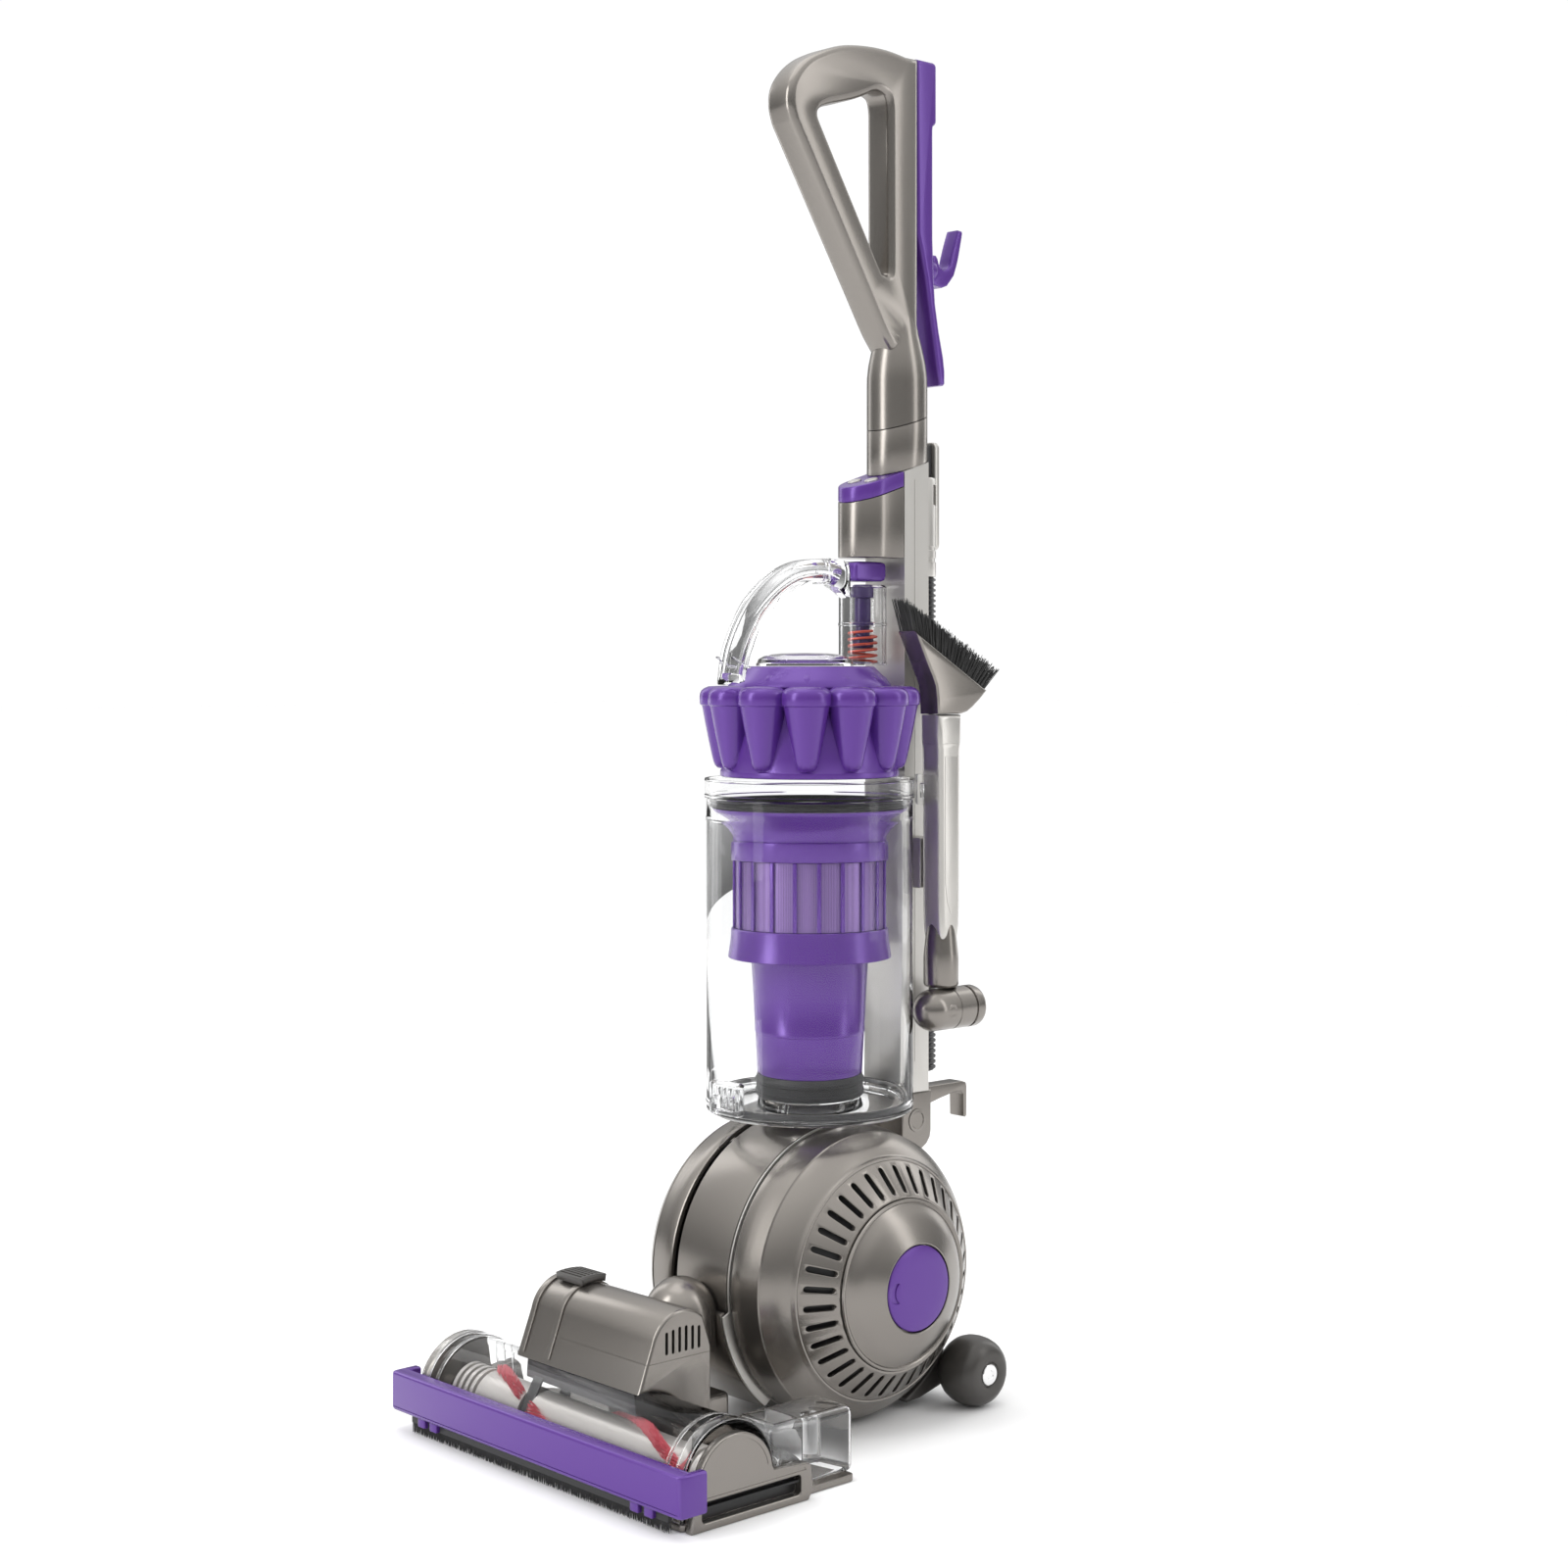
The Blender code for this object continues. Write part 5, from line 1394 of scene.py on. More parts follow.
@dataclass
class BrushBar(Assembly):
    """The turning brush bar: grey core, stacked rings at its left end and two twisted rows of bristle."""

    centre: Pair = BRUSH_AXIS
    core_r: float = 0.0186
    reach: float = 0.0240
    half: float = 0.1400
    turns: float = 0.9
    tufts: int = 150

    def build(self) -> None:
        """Make the core and the bristles."""
        r = self.core_r
        profile = [(-0.1535, 0.0), (-0.1535, 0.0049), (-0.1405, 0.0049), (-0.1400, 0.0120)]
        for index in range(4):
            x = -0.1390 + 0.0070 * index
            profile += [(x, 0.0140), (x + 0.0008, r + 0.0004), (x + 0.0044, r + 0.0004), (x + 0.0052, 0.0140)]
        profile += [(-0.1105, r), (-0.0592, r), (-0.0590, 0.0145), (-0.0480, 0.0145), (-0.0478, r)]
        profile += [
            (0.1300, r), (0.1305, 0.0150), (0.1330, 0.0150), (0.1335, r), (0.1392, r), (0.1400, 0.0120)
        ]
        profile += [(0.1405, 0.0049), (0.1535, 0.0049), (0.1535, 0.0)]
        core = lathe("brush_core", profile, Axis.X, self.centre, 80)
        self.dress(core, CORE, "brush", "brush_bar", angle=35)
        self.dress(self.rows(), RED, "brush")

    def rows(self) -> Object:
        """Two twisted rows of tufts, each of several fine bristles."""
        draw = random.Random(11)
        places = []
        y, z = self.centre
        for index in range(self.tufts):
            x = -0.1080 + 0.2360 * index / (self.tufts - 1)
            if -0.0610 < x < -0.0460:
                continue
            for row in range(2):
                base = math.tau * (self.turns * x / (2 * self.half) + row / 2) + 0.35
                for _ in range(14):
                    angle = base + draw.uniform(-0.21, 0.21)
                    along = x + draw.uniform(-0.0009, 0.0009)
                    out = Vector((draw.uniform(-0.08, 0.08), math.cos(angle), math.sin(angle)))
                    root = Vector((along, y, z)) + Vector(
                        (0, math.cos(angle), math.sin(angle))
                    ) * (self.core_r - 0.0006)
                    scale = Matrix.Diagonal((1, 1, draw.uniform(0.86, 1.0), 1))
                    places.append(
                        Matrix.Translation(root) @ out.to_track_quat("Z", "X").to_matrix().to_4x4() @ scale
                    )
        return scattered("brush_bristles", strand(0.00032, self.reach - self.core_r + 0.0004, 0.7), places)


@dataclass
class MotorHousing(Assembly):
    """The grey housing on the head: a hollow crown with vents, a strap, a cap and the latch."""

    span: Pair = (-0.0760, 0.0680)
    crown: Pair = (-0.1870, 0.0925)
    radius: float = 0.0275

    def outline(self, grow: float) -> list[Pair]:
        """The housing's side outline above the clear arch, grown outwards or inwards."""
        saddle = arc(ARCH_AXIS, 0.0403, 101, 22, 40)
        top = arc(self.crown, self.radius + grow, 45, 165, 40)
        rear = [(-0.1600 + grow, 0.0413), (-0.1600 + grow, 0.0900)]
        return saddle + rear + top

    def build(self) -> None:
        """Make the housing with a black sheet of painted shade behind its vents, its strap, its end cap and
        the latch.
        """
        low, high = self.span
        shell = slab("housing_shell", [self.outline(0.0)], Axis.X, (low, high), 0.0022)
        inner = [(-0.2242, 0.0680)] + arc(
            self.crown, self.radius - 0.0025, 165, 45, 30
        ) + [(-0.1625, 0.0885), (-0.1625, 0.0680)]
        cut(shell, slab("hollow", [inner], Axis.X, (low + 0.0025, high - 0.0025), 0.0004))
        vents = []
        for index in range(6):
            y = -0.2030 + 0.0060 * index
            top = 0.1085 - abs(index - 2.5) * 0.0010
            vent = rounded((y, y + 0.0026), (0.0900, top), 0.0012)
            vents.append(slab("vent", [vent], Axis.X, (high - 0.0060, high + 0.0030), 0.0002))
        cut(shell, gather("vents", vents))
        seam = [(-0.2600, 0.0855), (-0.1500, 0.0855), (-0.1500, 0.0861), (-0.2600, 0.0861)]
        cut(shell, cut(slab("seam", [seam], Axis.X, (-0.0330, high + 0.001), 0.0001),
                       slab("core", [self.outline(-0.0006)], Axis.X, (low, high - 0.0006), 0.0001)))
        self.dress(shell, IRON, "floor_head", "motor_housing", angle=35)
        # Painted shade: a thin black sheet inside the hollow, just behind the vents, so that they look dark
        # as if in shadow.
        dark = slab("housing_vent_painted_shade", [inner], Axis.X, (high - 0.0075, high - 0.0068), 0.0001)
        self.dress(dark, BLACK, "floor_head")
        self.strap()
        self.latch()

    def strap(self) -> None:
        """The raised strap round the crown's left part, and the round cap on the left end."""
        top = arc(self.crown, self.radius + 0.0012, 47, 165, 40)
        under = arc(self.crown, self.radius - 0.0006, 165, 47, 40)
        front = [(-0.2262, 0.0700), (-0.2244, 0.0690)]
        for name, x in (("strap_outer", (-0.0735, -0.0675)), ("strap_inner", (-0.0430, -0.0370))):
            band = slab(name, [top + front + under], Axis.X, x, 0.0006)
            self.dress(band, IRON, "floor_head", angle=35)
        low = self.span[0]
        cap = [
            (low + 0.0005, 0.0), (low + 0.0005, 0.0190), (low - 0.0012, 0.0185), (low - 0.0016, 0.0150),
            (low - 0.0008, 0.0140),
            (low - 0.0008, 0.0),
        ]
        self.dress(lathe("housing_cap", cap, Axis.X, self.crown, 64), IRON, "floor_head")

    def latch(self) -> None:
        """The ridged latch on top of the crown."""
        top = self.crown[1] + self.radius
        y, z = self.crown
        over = arc((y, z - 0.0300), self.radius + 0.0362, 79, 101, 24)
        under = arc((y, z - 0.0300), self.radius + 0.0306, 101, 79, 24)
        body = slab("latch", [over + under], Axis.X, (-0.0650, -0.0330), 0.0016)
        for index in range(6):
            back = y - 0.0100 + 0.0036 * index
            cut(
                body,
                block("ridge", (-0.0620, -0.0360), (back, back + 0.0016), (top + 0.0042, top + 0.0090), 0.0),
            )
        soften(body, 0.0003, 2, 50)
        self.dress(body, WHEEL, "head_latch", "head_latch", angle=35)


# ---------------------------------------------------------------------- spine, wand and handle


@dataclass
class Spine(Assembly):
    """The channel behind the bin, the nose at its top, the collar with its buttons, and the foot."""

    half: float = 0.0222
    front: float = 0.0828
    rear: float = 0.1100
    foot: float = 0.2355
    nose_foot: float = 0.6620
    slant: Triple = (0.0, 0.0820, 0.7310)
    slope: float = 0.32
    collar_h: float = 0.0120

    def slanted(self, piece: Object, lift: float, below: bool = True) -> Object:
        """Cut a piece at the slanted top, raised by lift, and keep the part below or above it."""
        sign = 1.0 if below else -1.0
        point = (self.slant[0], self.slant[1], self.slant[2] + lift)
        return sliced(piece, point, (0.0, -self.slope * sign, sign))

    def build(self) -> None:
        """Make each piece of the spine in turn."""
        self.channel()
        self.nose()
        self.buttons()
        self.valve()

    def channel(self) -> None:
        """The light silver channel with its clip and two fine lines down its sides."""
        h, inside, web = self.half, self.half - 0.0014, self.front + 0.0077
        section = [
            (-h, self.front), (h, self.front), (h, self.rear), (inside, self.rear), (inside, web),
            (-inside, web), (-inside, self.rear), (-h, self.rear),
        ]
        piece = self.slanted(slab("channel", [section], Axis.Z, (self.foot, 0.78), 0.0004), 0.0)
        for side in Side:
            x = sorted((side.value * (h - 0.0003), side.value * (h + 0.001)))
            cut(piece, block("line", tuple(x), (0.0938, 0.0943), (0.2600, 0.7250), 0.0))
        clip = block("clip", (h - 0.0010, 0.0365), (0.0860, 0.1030), (0.4000, 0.4400), 0.0010)
        cut(clip, block("clip_slot", (0.0250, 0.0400), (0.0890, 0.1000), (0.4040, 0.4360), 0.0006))
        self.dress(unite(piece, clip), SILVER, "upright", "spine_channel", angle=35)

    def outline(self) -> list[Pair]:
        """The round-fronted section of the nose."""
        back = self.front - 0.0003
        front = arc((0.0, 0.0615), self.half, 360, 180, 48)
        return front + [(-self.half, back), (self.half, back)]

    def nose(self) -> None:
        """The grey nose and the purple collar on it."""
        nose = self.slanted(
            slab("nose", [self.outline()], Axis.Z, (self.nose_foot, 0.78), 0.0008), -self.collar_h - 0.0004
        )
        soften(nose, 0.0004, 2, 40)
        self.dress(nose, IRON, "upright", "spine_nose", angle=35)
        collar = slab("collar", [self.outline()], Axis.Z, (self.nose_foot, 0.78), 0.0003)
        collar = self.slanted(self.slanted(collar, 0.0), -self.collar_h, below=False)
        soften(collar, 0.0010, 3, 40)
        for x in (-0.0095, 0.0095):
            cut(collar, self.on_slant(round_bar("well", (-0.0050, 0.01), 0.0059, Axis.Z, (0.0, 0.0), 48), x))
        self.dress(collar, PURPLE, "upright", "control_collar", angle=35)

    def on_slant(self, piece: Object, x: float, y: float = 0.0580) -> Object:
        """Stand a piece made along Z on the slanted top."""
        rise = self.slant[2] + (y - self.slant[1]) * self.slope
        tilt = Matrix.Rotation(math.atan(self.slope), 4, "X")
        piece.data.transform(Matrix.Translation((x, y, rise)) @ tilt)
        return piece

    def buttons(self) -> None:
        """The two buttons, each with a dished face."""
        profile = [
            (-0.0030, 0.0), (-0.0030, 0.0055), (0.0006, 0.0055), (0.0012, 0.0050), (0.0009, 0.0030),
            (0.0006, 0.0),
        ]
        for name, node, x in (("power_key", "power_button", -0.0095), ("brush_key", "brush_button", 0.0095)):
            key = self.on_slant(lathe(name, profile, Axis.Z, steps=48), x)
            self.dress(key, SILVER, node, node)

    def valve(self) -> None:
        """The changeover valve's housing at the foot and the lower cable hook."""
        outline = [
            (0.0840, 0.1935), (0.0870, 0.1895), (0.0930, 0.1872), (0.1000, 0.1865), (0.1070, 0.1880),
            (0.1130, 0.1915),
            (0.1168, 0.1965), (0.1180, 0.2020), (0.1180, 0.2350), (0.0840, 0.2350),
        ]
        block_piece = slab("valve", [outline], Axis.X, (-0.0180, 0.0180), 0.0020)
        hook = [
            (0.1160, 0.2060), (0.1175, 0.2120), (0.1205, 0.2170), (0.1250, 0.2208), (0.1400, 0.2242),
            (0.1560, 0.2272),
            (0.1630, 0.2270), (0.1655, 0.2240), (0.1658, 0.2060), (0.1680, 0.2050), (0.1698, 0.2062),
            (0.1700, 0.2300),
            (0.1690, 0.2335), (0.1650, 0.2350), (0.1160, 0.2350),
        ]
        unite(block_piece, slab("hook", [hook], Axis.X, (-0.0080, 0.0080), 0.0010))
        self.dress(block_piece, IRON, "upright", "valve_block", angle=35)
        dial = [
            (0.0178, 0.0), (0.0178, 0.0095), (0.0188, 0.0092), (0.0190, 0.0070), (0.0184, 0.0064),
            (0.0184, 0.0),
        ]
        self.dress(lathe("valve_dial", dial, Axis.X, (0.1010, 0.2120), 48), IRON, "upright")


@dataclass
class Hose(Assembly):
    """The ribbed hose in the channel, the cuff over its top and the wand's catch."""

    y: float = 0.1120
    pitch: float = 0.0042

    def build(self) -> None:
        """Make the hose, the cuff and the catch."""
        low, high = 0.2500, 0.6480
        count = int((high - low) / self.pitch)
        step = (high - low) / count
        rib = [
            (low, 0.0186), (low + 0.18 * step, 0.0190), (low + 0.34 * step, 0.0203),
            (low + 0.66 * step, 0.0203),
            (low + 0.82 * step, 0.0190), (low + step, 0.0186), (low + step, 0.0172), (low, 0.0172),
        ]
        ring = lathe("rib", rib, Axis.Z, (0.0, self.y), 40)
        places = [Matrix.Translation((0, 0, step * index)) for index in range(count)]
        hose = close_up(scattered("ribbed_hose", ring, places), 1e-5)
        self.dress(hose, BLACK, "upright", "hose", angle=50)
        self.cuff()
        catch = block("catch", (-0.0080, 0.0080), (0.1226, 0.1287), (0.7300, 0.7560), 0.0012)
        for index in range(3):
            z = 0.7360 + 0.0050 * index
            cut(catch, block("grip", (-0.0070, 0.0070), (0.1280, 0.1300), (z, z + 0.0020), 0.0))
        self.dress(catch, BLACK, "wand_catch", "wand_catch", angle=35)

    def cuff(self) -> None:
        """The light cuff: stepped rings, a dark window on its right side and a tongue up the back."""
        profile = [
            (0.6483, 0.0157), (0.6483, 0.0200), (0.6500, 0.0205), (0.6600, 0.0205), (0.6606, 0.0196),
            (0.6630, 0.0196),
            (0.6636, 0.0205), (0.6690, 0.0205), (0.6696, 0.0196), (0.6720, 0.0196), (0.6726, 0.0205),
            (0.7265, 0.0205),
            (0.7280, 0.0195), (0.7280, 0.0157),
        ]
        cuff = lathe("cuff", profile, Axis.Z, (0.0, self.y), 80)
        tongue = slab(
            "tongue", [rounded((-0.0110, 0.0110), (0.6700, 0.7580), 0.0050)], Axis.Y, (0.1292, 0.1345),
            0.0010,
        )
        unite(cuff, tongue)
        cut(cuff, block("window", (0.0120, 0.0300), (0.1180, 0.1262), (0.7060, 0.7225), 0.0015))
        self.dress(cuff, SILVER, "upright", "hose_cuff", angle=35)
        dark = lathe(
            "cuff_liner", [(0.7000, 0.0130), (0.7000, 0.0154), (0.7270, 0.0154), (0.7270, 0.0130)], Axis.Z,
            (0.0, self.y), 48,
        )
        self.dress(dark, BLACK, "upright")


@dataclass
class Wand(Assembly):
    """The wand tube, the loop handle on it, the purple inlay down its back and the upper cable hook."""

    spine: Spine
    y: float = 0.0965
    radius: float = 0.0244
    seam: float = 0.7720

    def build(self) -> None:
        """Make the tube, the handle, the inlay and the hook."""
        self.tube()
        self.handle()
        self.inlay()
        self.hook()
        self.machine.repaint(STEEL, "inner_wand")

    def tube(self) -> None:
        """The wide tube that stands on the spine's slanted top."""
        r = self.radius
        tube = lathe(
            "lower_tube", [(0.70, r - 0.003), (0.70, r), (0.86, r), (0.86, r - 0.003)], Axis.Z, (0.0, self.y),
            96,
        )
        self.spine.slanted(tube, 0.0006, below=False)
        sliced(tube, (0.0, self.y, self.seam - 0.0003), (0.0, -self.spine.slope, 1.0))
        soften(tube, 0.0003, 2, 40)
        self.dress(tube, IRON, "wand", "wand_tube", angle=35)

    def handle(self) -> None:
        """The loop and the shaft under it, drawn into one."""
        outer = flowing([
            (0.0947, 1.0648), (0.0780, 1.0668), (0.0610, 1.0672), (0.0420, 1.0658), (0.0240, 1.0625),
            (0.0060, 1.0562),
            (-0.0120, 1.0470), (-0.0250, 1.0350), (-0.0325, 1.0220), (-0.0335, 1.0080), (-0.0295, 0.9950),
        ], 6)
        loop = outer + [
            (0.0500, 0.8690), (0.0640, 0.8465), (0.0690, 0.8390), (0.0780, 0.8280), (0.1080, 0.8280),
            (0.1080, 1.0650),
        ]
        hole = flowing([
            (0.0748, 1.0180), (0.0735, 1.0270), (0.0700, 1.0310), (0.0610, 1.0320), (0.0490, 1.0270),
            (0.0380, 1.0225),
            (0.0240, 1.0180), (0.0110, 1.0142), (0.0030, 1.0110), (-0.0015, 1.0075), (-0.0020, 1.0030),
            (0.0010, 0.9970),
        ], 5)
        hole += [(0.0670, 0.8890)] + arc((0.0722, 0.8905), 0.0028, 215, 350, 7) + [(0.0752, 0.8960)]
        grip = slab("grip", [loop, hole], Axis.X, (-0.0145, 0.0145), 0.0058)
        r = self.radius
        taper = [
            (0.74, 0.0), (0.74, r), (0.8020, r), (0.8080, 0.0243), (0.8180, 0.0232), (0.8300, 0.0207),
            (0.8420, 0.0178),
            (0.8550, 0.0150), (0.8700, 0.0125), (0.8800, 0.0108), (0.8800, 0.0),
        ]
        shaft = sliced(
            lathe("shaft", taper, Axis.Z, (0.0, self.y), 96), (0.0, self.y, self.seam + 0.0005),
            (0.0, self.spine.slope, -1.0),
        )
        unite(grip, shaft)
        grip.name = "loop_handle"
        self.dress(grip, IRON, "wand", "handle", angle=38)

    def inlay(self) -> None:
        """The purple inlay: a cap at the top, a slim strip and a tail that flares back at its foot."""
        outline = [
            (0.1084, 1.0655), (0.1270, 1.0655), (0.1298, 1.0645), (0.1308, 1.0620), (0.1308, 1.0175),
            (0.1298, 1.0155),
            (0.1272, 1.0135), (0.1268, 1.0100), (0.1268, 0.9220), (0.1282, 0.8900), (0.1298, 0.8700),
            (0.1340, 0.8480),
            (0.1392, 0.8270), (0.1408, 0.8160), (0.1408, 0.8060), (0.1392, 0.8042), (0.1340, 0.8042),
            (0.1310, 0.8180), (0.1270, 0.8400), (0.1215, 0.8700), (0.1180, 0.8900), (0.1130, 0.9100),
            (0.1084, 0.9250),
        ]
        strip = slab("inlay", [outline], Axis.X, (-0.0120, 0.0120), 0.0030)
        self.dress(strip, PURPLE, "wand", "handle_inlay", angle=38)

    def hook(self) -> None:
        """The turning cable hook: a round boss and a blade that sweeps up."""
        blade = [(0.1305, 0.8865), (0.1420, 0.8848), (0.1480, 0.8870), (0.1560, 0.8960)]
        blade += flowing([(0.1560, 0.8960), (0.1605, 0.9080), (0.1640, 0.9220), (0.1662, 0.9320)], 4)[1:]
        blade += [(0.1655, 0.9338), (0.1610, 0.9342)]
        blade += flowing(
            [(0.1610, 0.9342), (0.1570, 0.9240), (0.1530, 0.9120), (0.1500, 0.9030), (0.1440, 0.8995)], 4
        )[1:]
        blade += [(0.1390, 0.9020), (0.1370, 0.9080), (0.1350, 0.9105), (0.1305, 0.9105)]
        hook = slab("hook_blade", [blade], Axis.X, (-0.0070, 0.0070), 0.0015)
        boss = [
            (0.1276, 0.0), (0.1276, 0.0085), (0.1284, 0.0095), (0.1330, 0.0098), (0.1345, 0.0088),
            (0.1345, 0.0),
        ]
        unite(hook, lathe("boss", boss, Axis.Y, (0.0, 0.8985), 48))
        self.dress(hook, PURPLE, "upper_hook", "upper_cable_hook", angle=38)


# --------------------------------------------------------------------------- bin and cyclones


@dataclass
class Bin(Assembly):
    """The clear bin with its rim, hinged base, catch, clasp and seal."""

    radius: float = BIN_R
    wall: float = 0.0022
    low: float = 0.2360
    rim_r: float = 0.0822

    def build(self) -> None:
        """Make each piece of the bin in turn."""
        self.tube()
        self.base()
        self.catch()
        self.clasp()
        self.seals()

    def turned(self, name: str, profile: Sequence[Pair], steps: int = 144) -> Object:
        """Turn a profile about the bin's axis."""
        return lathe(name, profile, Axis.Z, (0.0, 0.0), steps)

    def tube(self) -> None:
        """The clear tube, with a stepped rim band and a thicker foot."""
        r, inner, rim = self.radius, self.radius - self.wall, self.rim_r
        profile = [
            (self.low, inner), (self.low, r), (self.low + 0.0035, r + 0.0004),
            (self.low + 0.0045, r - 0.0002),
            (0.4560, r - 0.0002), (0.4570, r + 0.0004), (0.4590, r + 0.0004), (0.4600, r - 0.0002),
            (0.4736, r - 0.0002),
            (0.4744, rim), (0.4764, rim), (0.4770, rim - 0.0005), (0.4870, rim - 0.0005), (0.4876, rim),
            (0.4890, rim - 0.0003),
            (0.4890, inner),
        ]
        self.dress(self.turned("clear_tube", profile), CLEAR_WALL, "bin", "bin_tube", angle=35)

    def base(self) -> None:
        """The dished clear base with its ribs, its dark seal and the hinge at its rear."""
        profile = [
            (0.2286, 0.0), (0.2286, 0.0690), (0.2296, 0.0752), (0.2318, 0.0796), (0.2330, 0.0806),
            (0.2345, 0.0806),
            (0.2345, 0.0768), (0.2390, 0.0762), (0.2390, 0.0738), (0.2330, 0.0722), (0.2312, 0.0680),
            (0.2306, 0.0420),
            (0.2380, 0.0400), (0.2380, 0.0380), (0.2306, 0.0360), (0.2306, 0.0),
        ]
        self.dress(self.turned("clear_base", profile), CLEAR, "bin_base", "bin_base", angle=35)
        ring = [(0.2348, 0.0769), (0.2348, 0.0780), (0.2386, 0.0780), (0.2392, 0.0772), (0.2392, 0.0764)]
        self.dress(self.turned("base_seal", ring, 96), RUBBER, "bin_base")
        hinge = round_bar("base_hinge", (-0.0140, 0.0140), 0.0022, Axis.X, (0.0785, 0.2325), 24)
        self.dress(hinge, CLEAR, "bin_base")

    def catch(self) -> None:
        """The clear catch low at the front, with its finger ridge and side cheeks."""
        front, back = -self.radius - 0.0095, -self.radius - 0.0008
        body = block("catch_body", (-0.0168, 0.0168), (front, back), (0.2362, 0.2618), 0.0028)
        cut(body, block("dish", (-0.0125, 0.0125), (front - 0.002, front + 0.0040), (0.2400, 0.2520), 0.0015))
        cut(body, block("under", (-0.0120, 0.0120), (front + 0.0050, back + 0.002), (0.2340, 0.2580), 0.0008))
        parts = [body]
        for x in (-0.0060, 0.0, 0.0060):
            parts.append(
                block(
                    "web", (x - 0.0006, x + 0.0006), (front + 0.0052, back - 0.0004), (0.2400, 0.2570),
                    0.0002,
                )
            )
        self.dress(gather("clear_catch", parts), CLEAR, "base_catch", "base_catch", angle=35)

    def clasp(self) -> None:
        """The small clear clasp over the rim at the rear right."""
        r = self.rim_r
        body = block("clasp", (r + 0.0006, r + 0.0070), (-0.0070, 0.0070), (0.4682, 0.4918), 0.0016)
        cut(body, block("clasp_dish", (r + 0.0040, r + 0.0090), (-0.0050, 0.0050), (0.4730, 0.4850), 0.0010))
        body.data.transform(Matrix.Rotation(math.radians(50), 4, "Z"))
        self.dress(body, CLEAR, "rim_clasp", "rim_clasp", angle=35)

    def seals(self) -> None:
        """The black seal above the shroud, with its lip against the tube."""
        lip = self.radius - self.wall - 0.0004
        profile = [
            (0.4662, 0.0702), (0.4662, 0.0760), (0.4668, lip - 0.0006), (0.4676, lip), (0.4690, lip - 0.0012),
            (0.4704, lip - 0.0012), (0.4714, lip), (0.4719, lip - 0.0010), (0.4719, 0.0702),
        ]
        self.dress(self.turned("shroud_seal", profile, 120), RUBBER, "bin", "bin_seal", angle=35)


@dataclass
class Shroud(Assembly):
    """The purple shroud in the bin: flare, punched mesh behind ribs, skirt, and the dust cone."""

    ribs: int = 20

    def build(self) -> None:
        """Make the flare and skirt, the mesh with its ribs, and the dust cone."""
        self.body()
        self.mesh()
        self.cone()

    def body(self) -> None:
        """The flare above the mesh and the skirt below it, on one sleeve."""
        profile = [
            (0.3500, 0.0602), (0.3500, 0.0630), (0.3506, 0.0636), (0.3560, 0.0628), (0.3640, 0.0616),
            (0.3730, 0.0611),
            (0.3738, 0.0605), (0.3740, 0.0568), (0.4276, 0.0568), (0.4280, 0.0606), (0.4288, 0.0611),
            (0.4424, 0.0611),
            (0.4432, 0.0605), (0.4436, 0.0594), (0.4480, 0.0600), (0.4530, 0.0630), (0.4580, 0.0690),
            (0.4620, 0.0744),
            (0.4636, 0.0760), (0.4656, 0.0766), (0.4656, 0.0702), (0.4600, 0.0680), (0.4480, 0.0560),
            (0.3745, 0.0552),
        ]
        piece = lathe("shroud_body", profile, Axis.Z, steps=120)
        self.dress(piece, PURPLE, "bin", "shroud", angle=32)

    def mesh(self) -> None:
        """The fine mesh sleeve and the upright ribs in front of it."""
        sleeve = lathe(
            "shroud_sleeve", [(0.3742, 0.0569), (0.3742, 0.0580), (0.4274, 0.0580), (0.4274, 0.0569)], Axis.Z,
            steps=120,
        )
        self.dress(sleeve, SHROUD_MESH, "bin")
        rib = block("rib", (0.0579, 0.0600), (-0.0016, 0.0016), (0.3741, 0.4277), 0.0005)
        turns = [Matrix.Rotation(math.tau * k / self.ribs, 4, "Z") for k in range(self.ribs)]
        self.dress(scattered("shroud_ribs", rib, turns), PURPLE, "bin")

    def cone(self) -> None:
        """The dust cone in the middle, with its shoulder, moulding lines and dark foot."""
        profile = [
            (0.2575, 0.0385), (0.2575, 0.0408), (0.2584, 0.0413), (0.2900, 0.0427), (0.2904, 0.0431),
            (0.2930, 0.0433),
            (0.2936, 0.0430), (0.3200, 0.0441), (0.3470, 0.0456), (0.3480, 0.0462), (0.3500, 0.0465),
            (0.4600, 0.0465),
            (0.4600, 0.0440), (0.3500, 0.0438),
        ]
        piece = lathe("dust_cone_body", profile, Axis.Z, steps=96)
        self.dress(piece, PURPLE, "bin", "dust_cone", angle=32)
        foot = [
            (0.2400, 0.0388), (0.2400, 0.0420), (0.2412, 0.0427), (0.2440, 0.0427), (0.2446, 0.0420),
            (0.2500, 0.0420),
            (0.2506, 0.0427), (0.2530, 0.0427), (0.2540, 0.0418), (0.2572, 0.0412), (0.2572, 0.0388),
        ]
        self.dress(lathe("cone_foot", foot, Axis.Z, steps=96), RUBBER, "bin", angle=32)


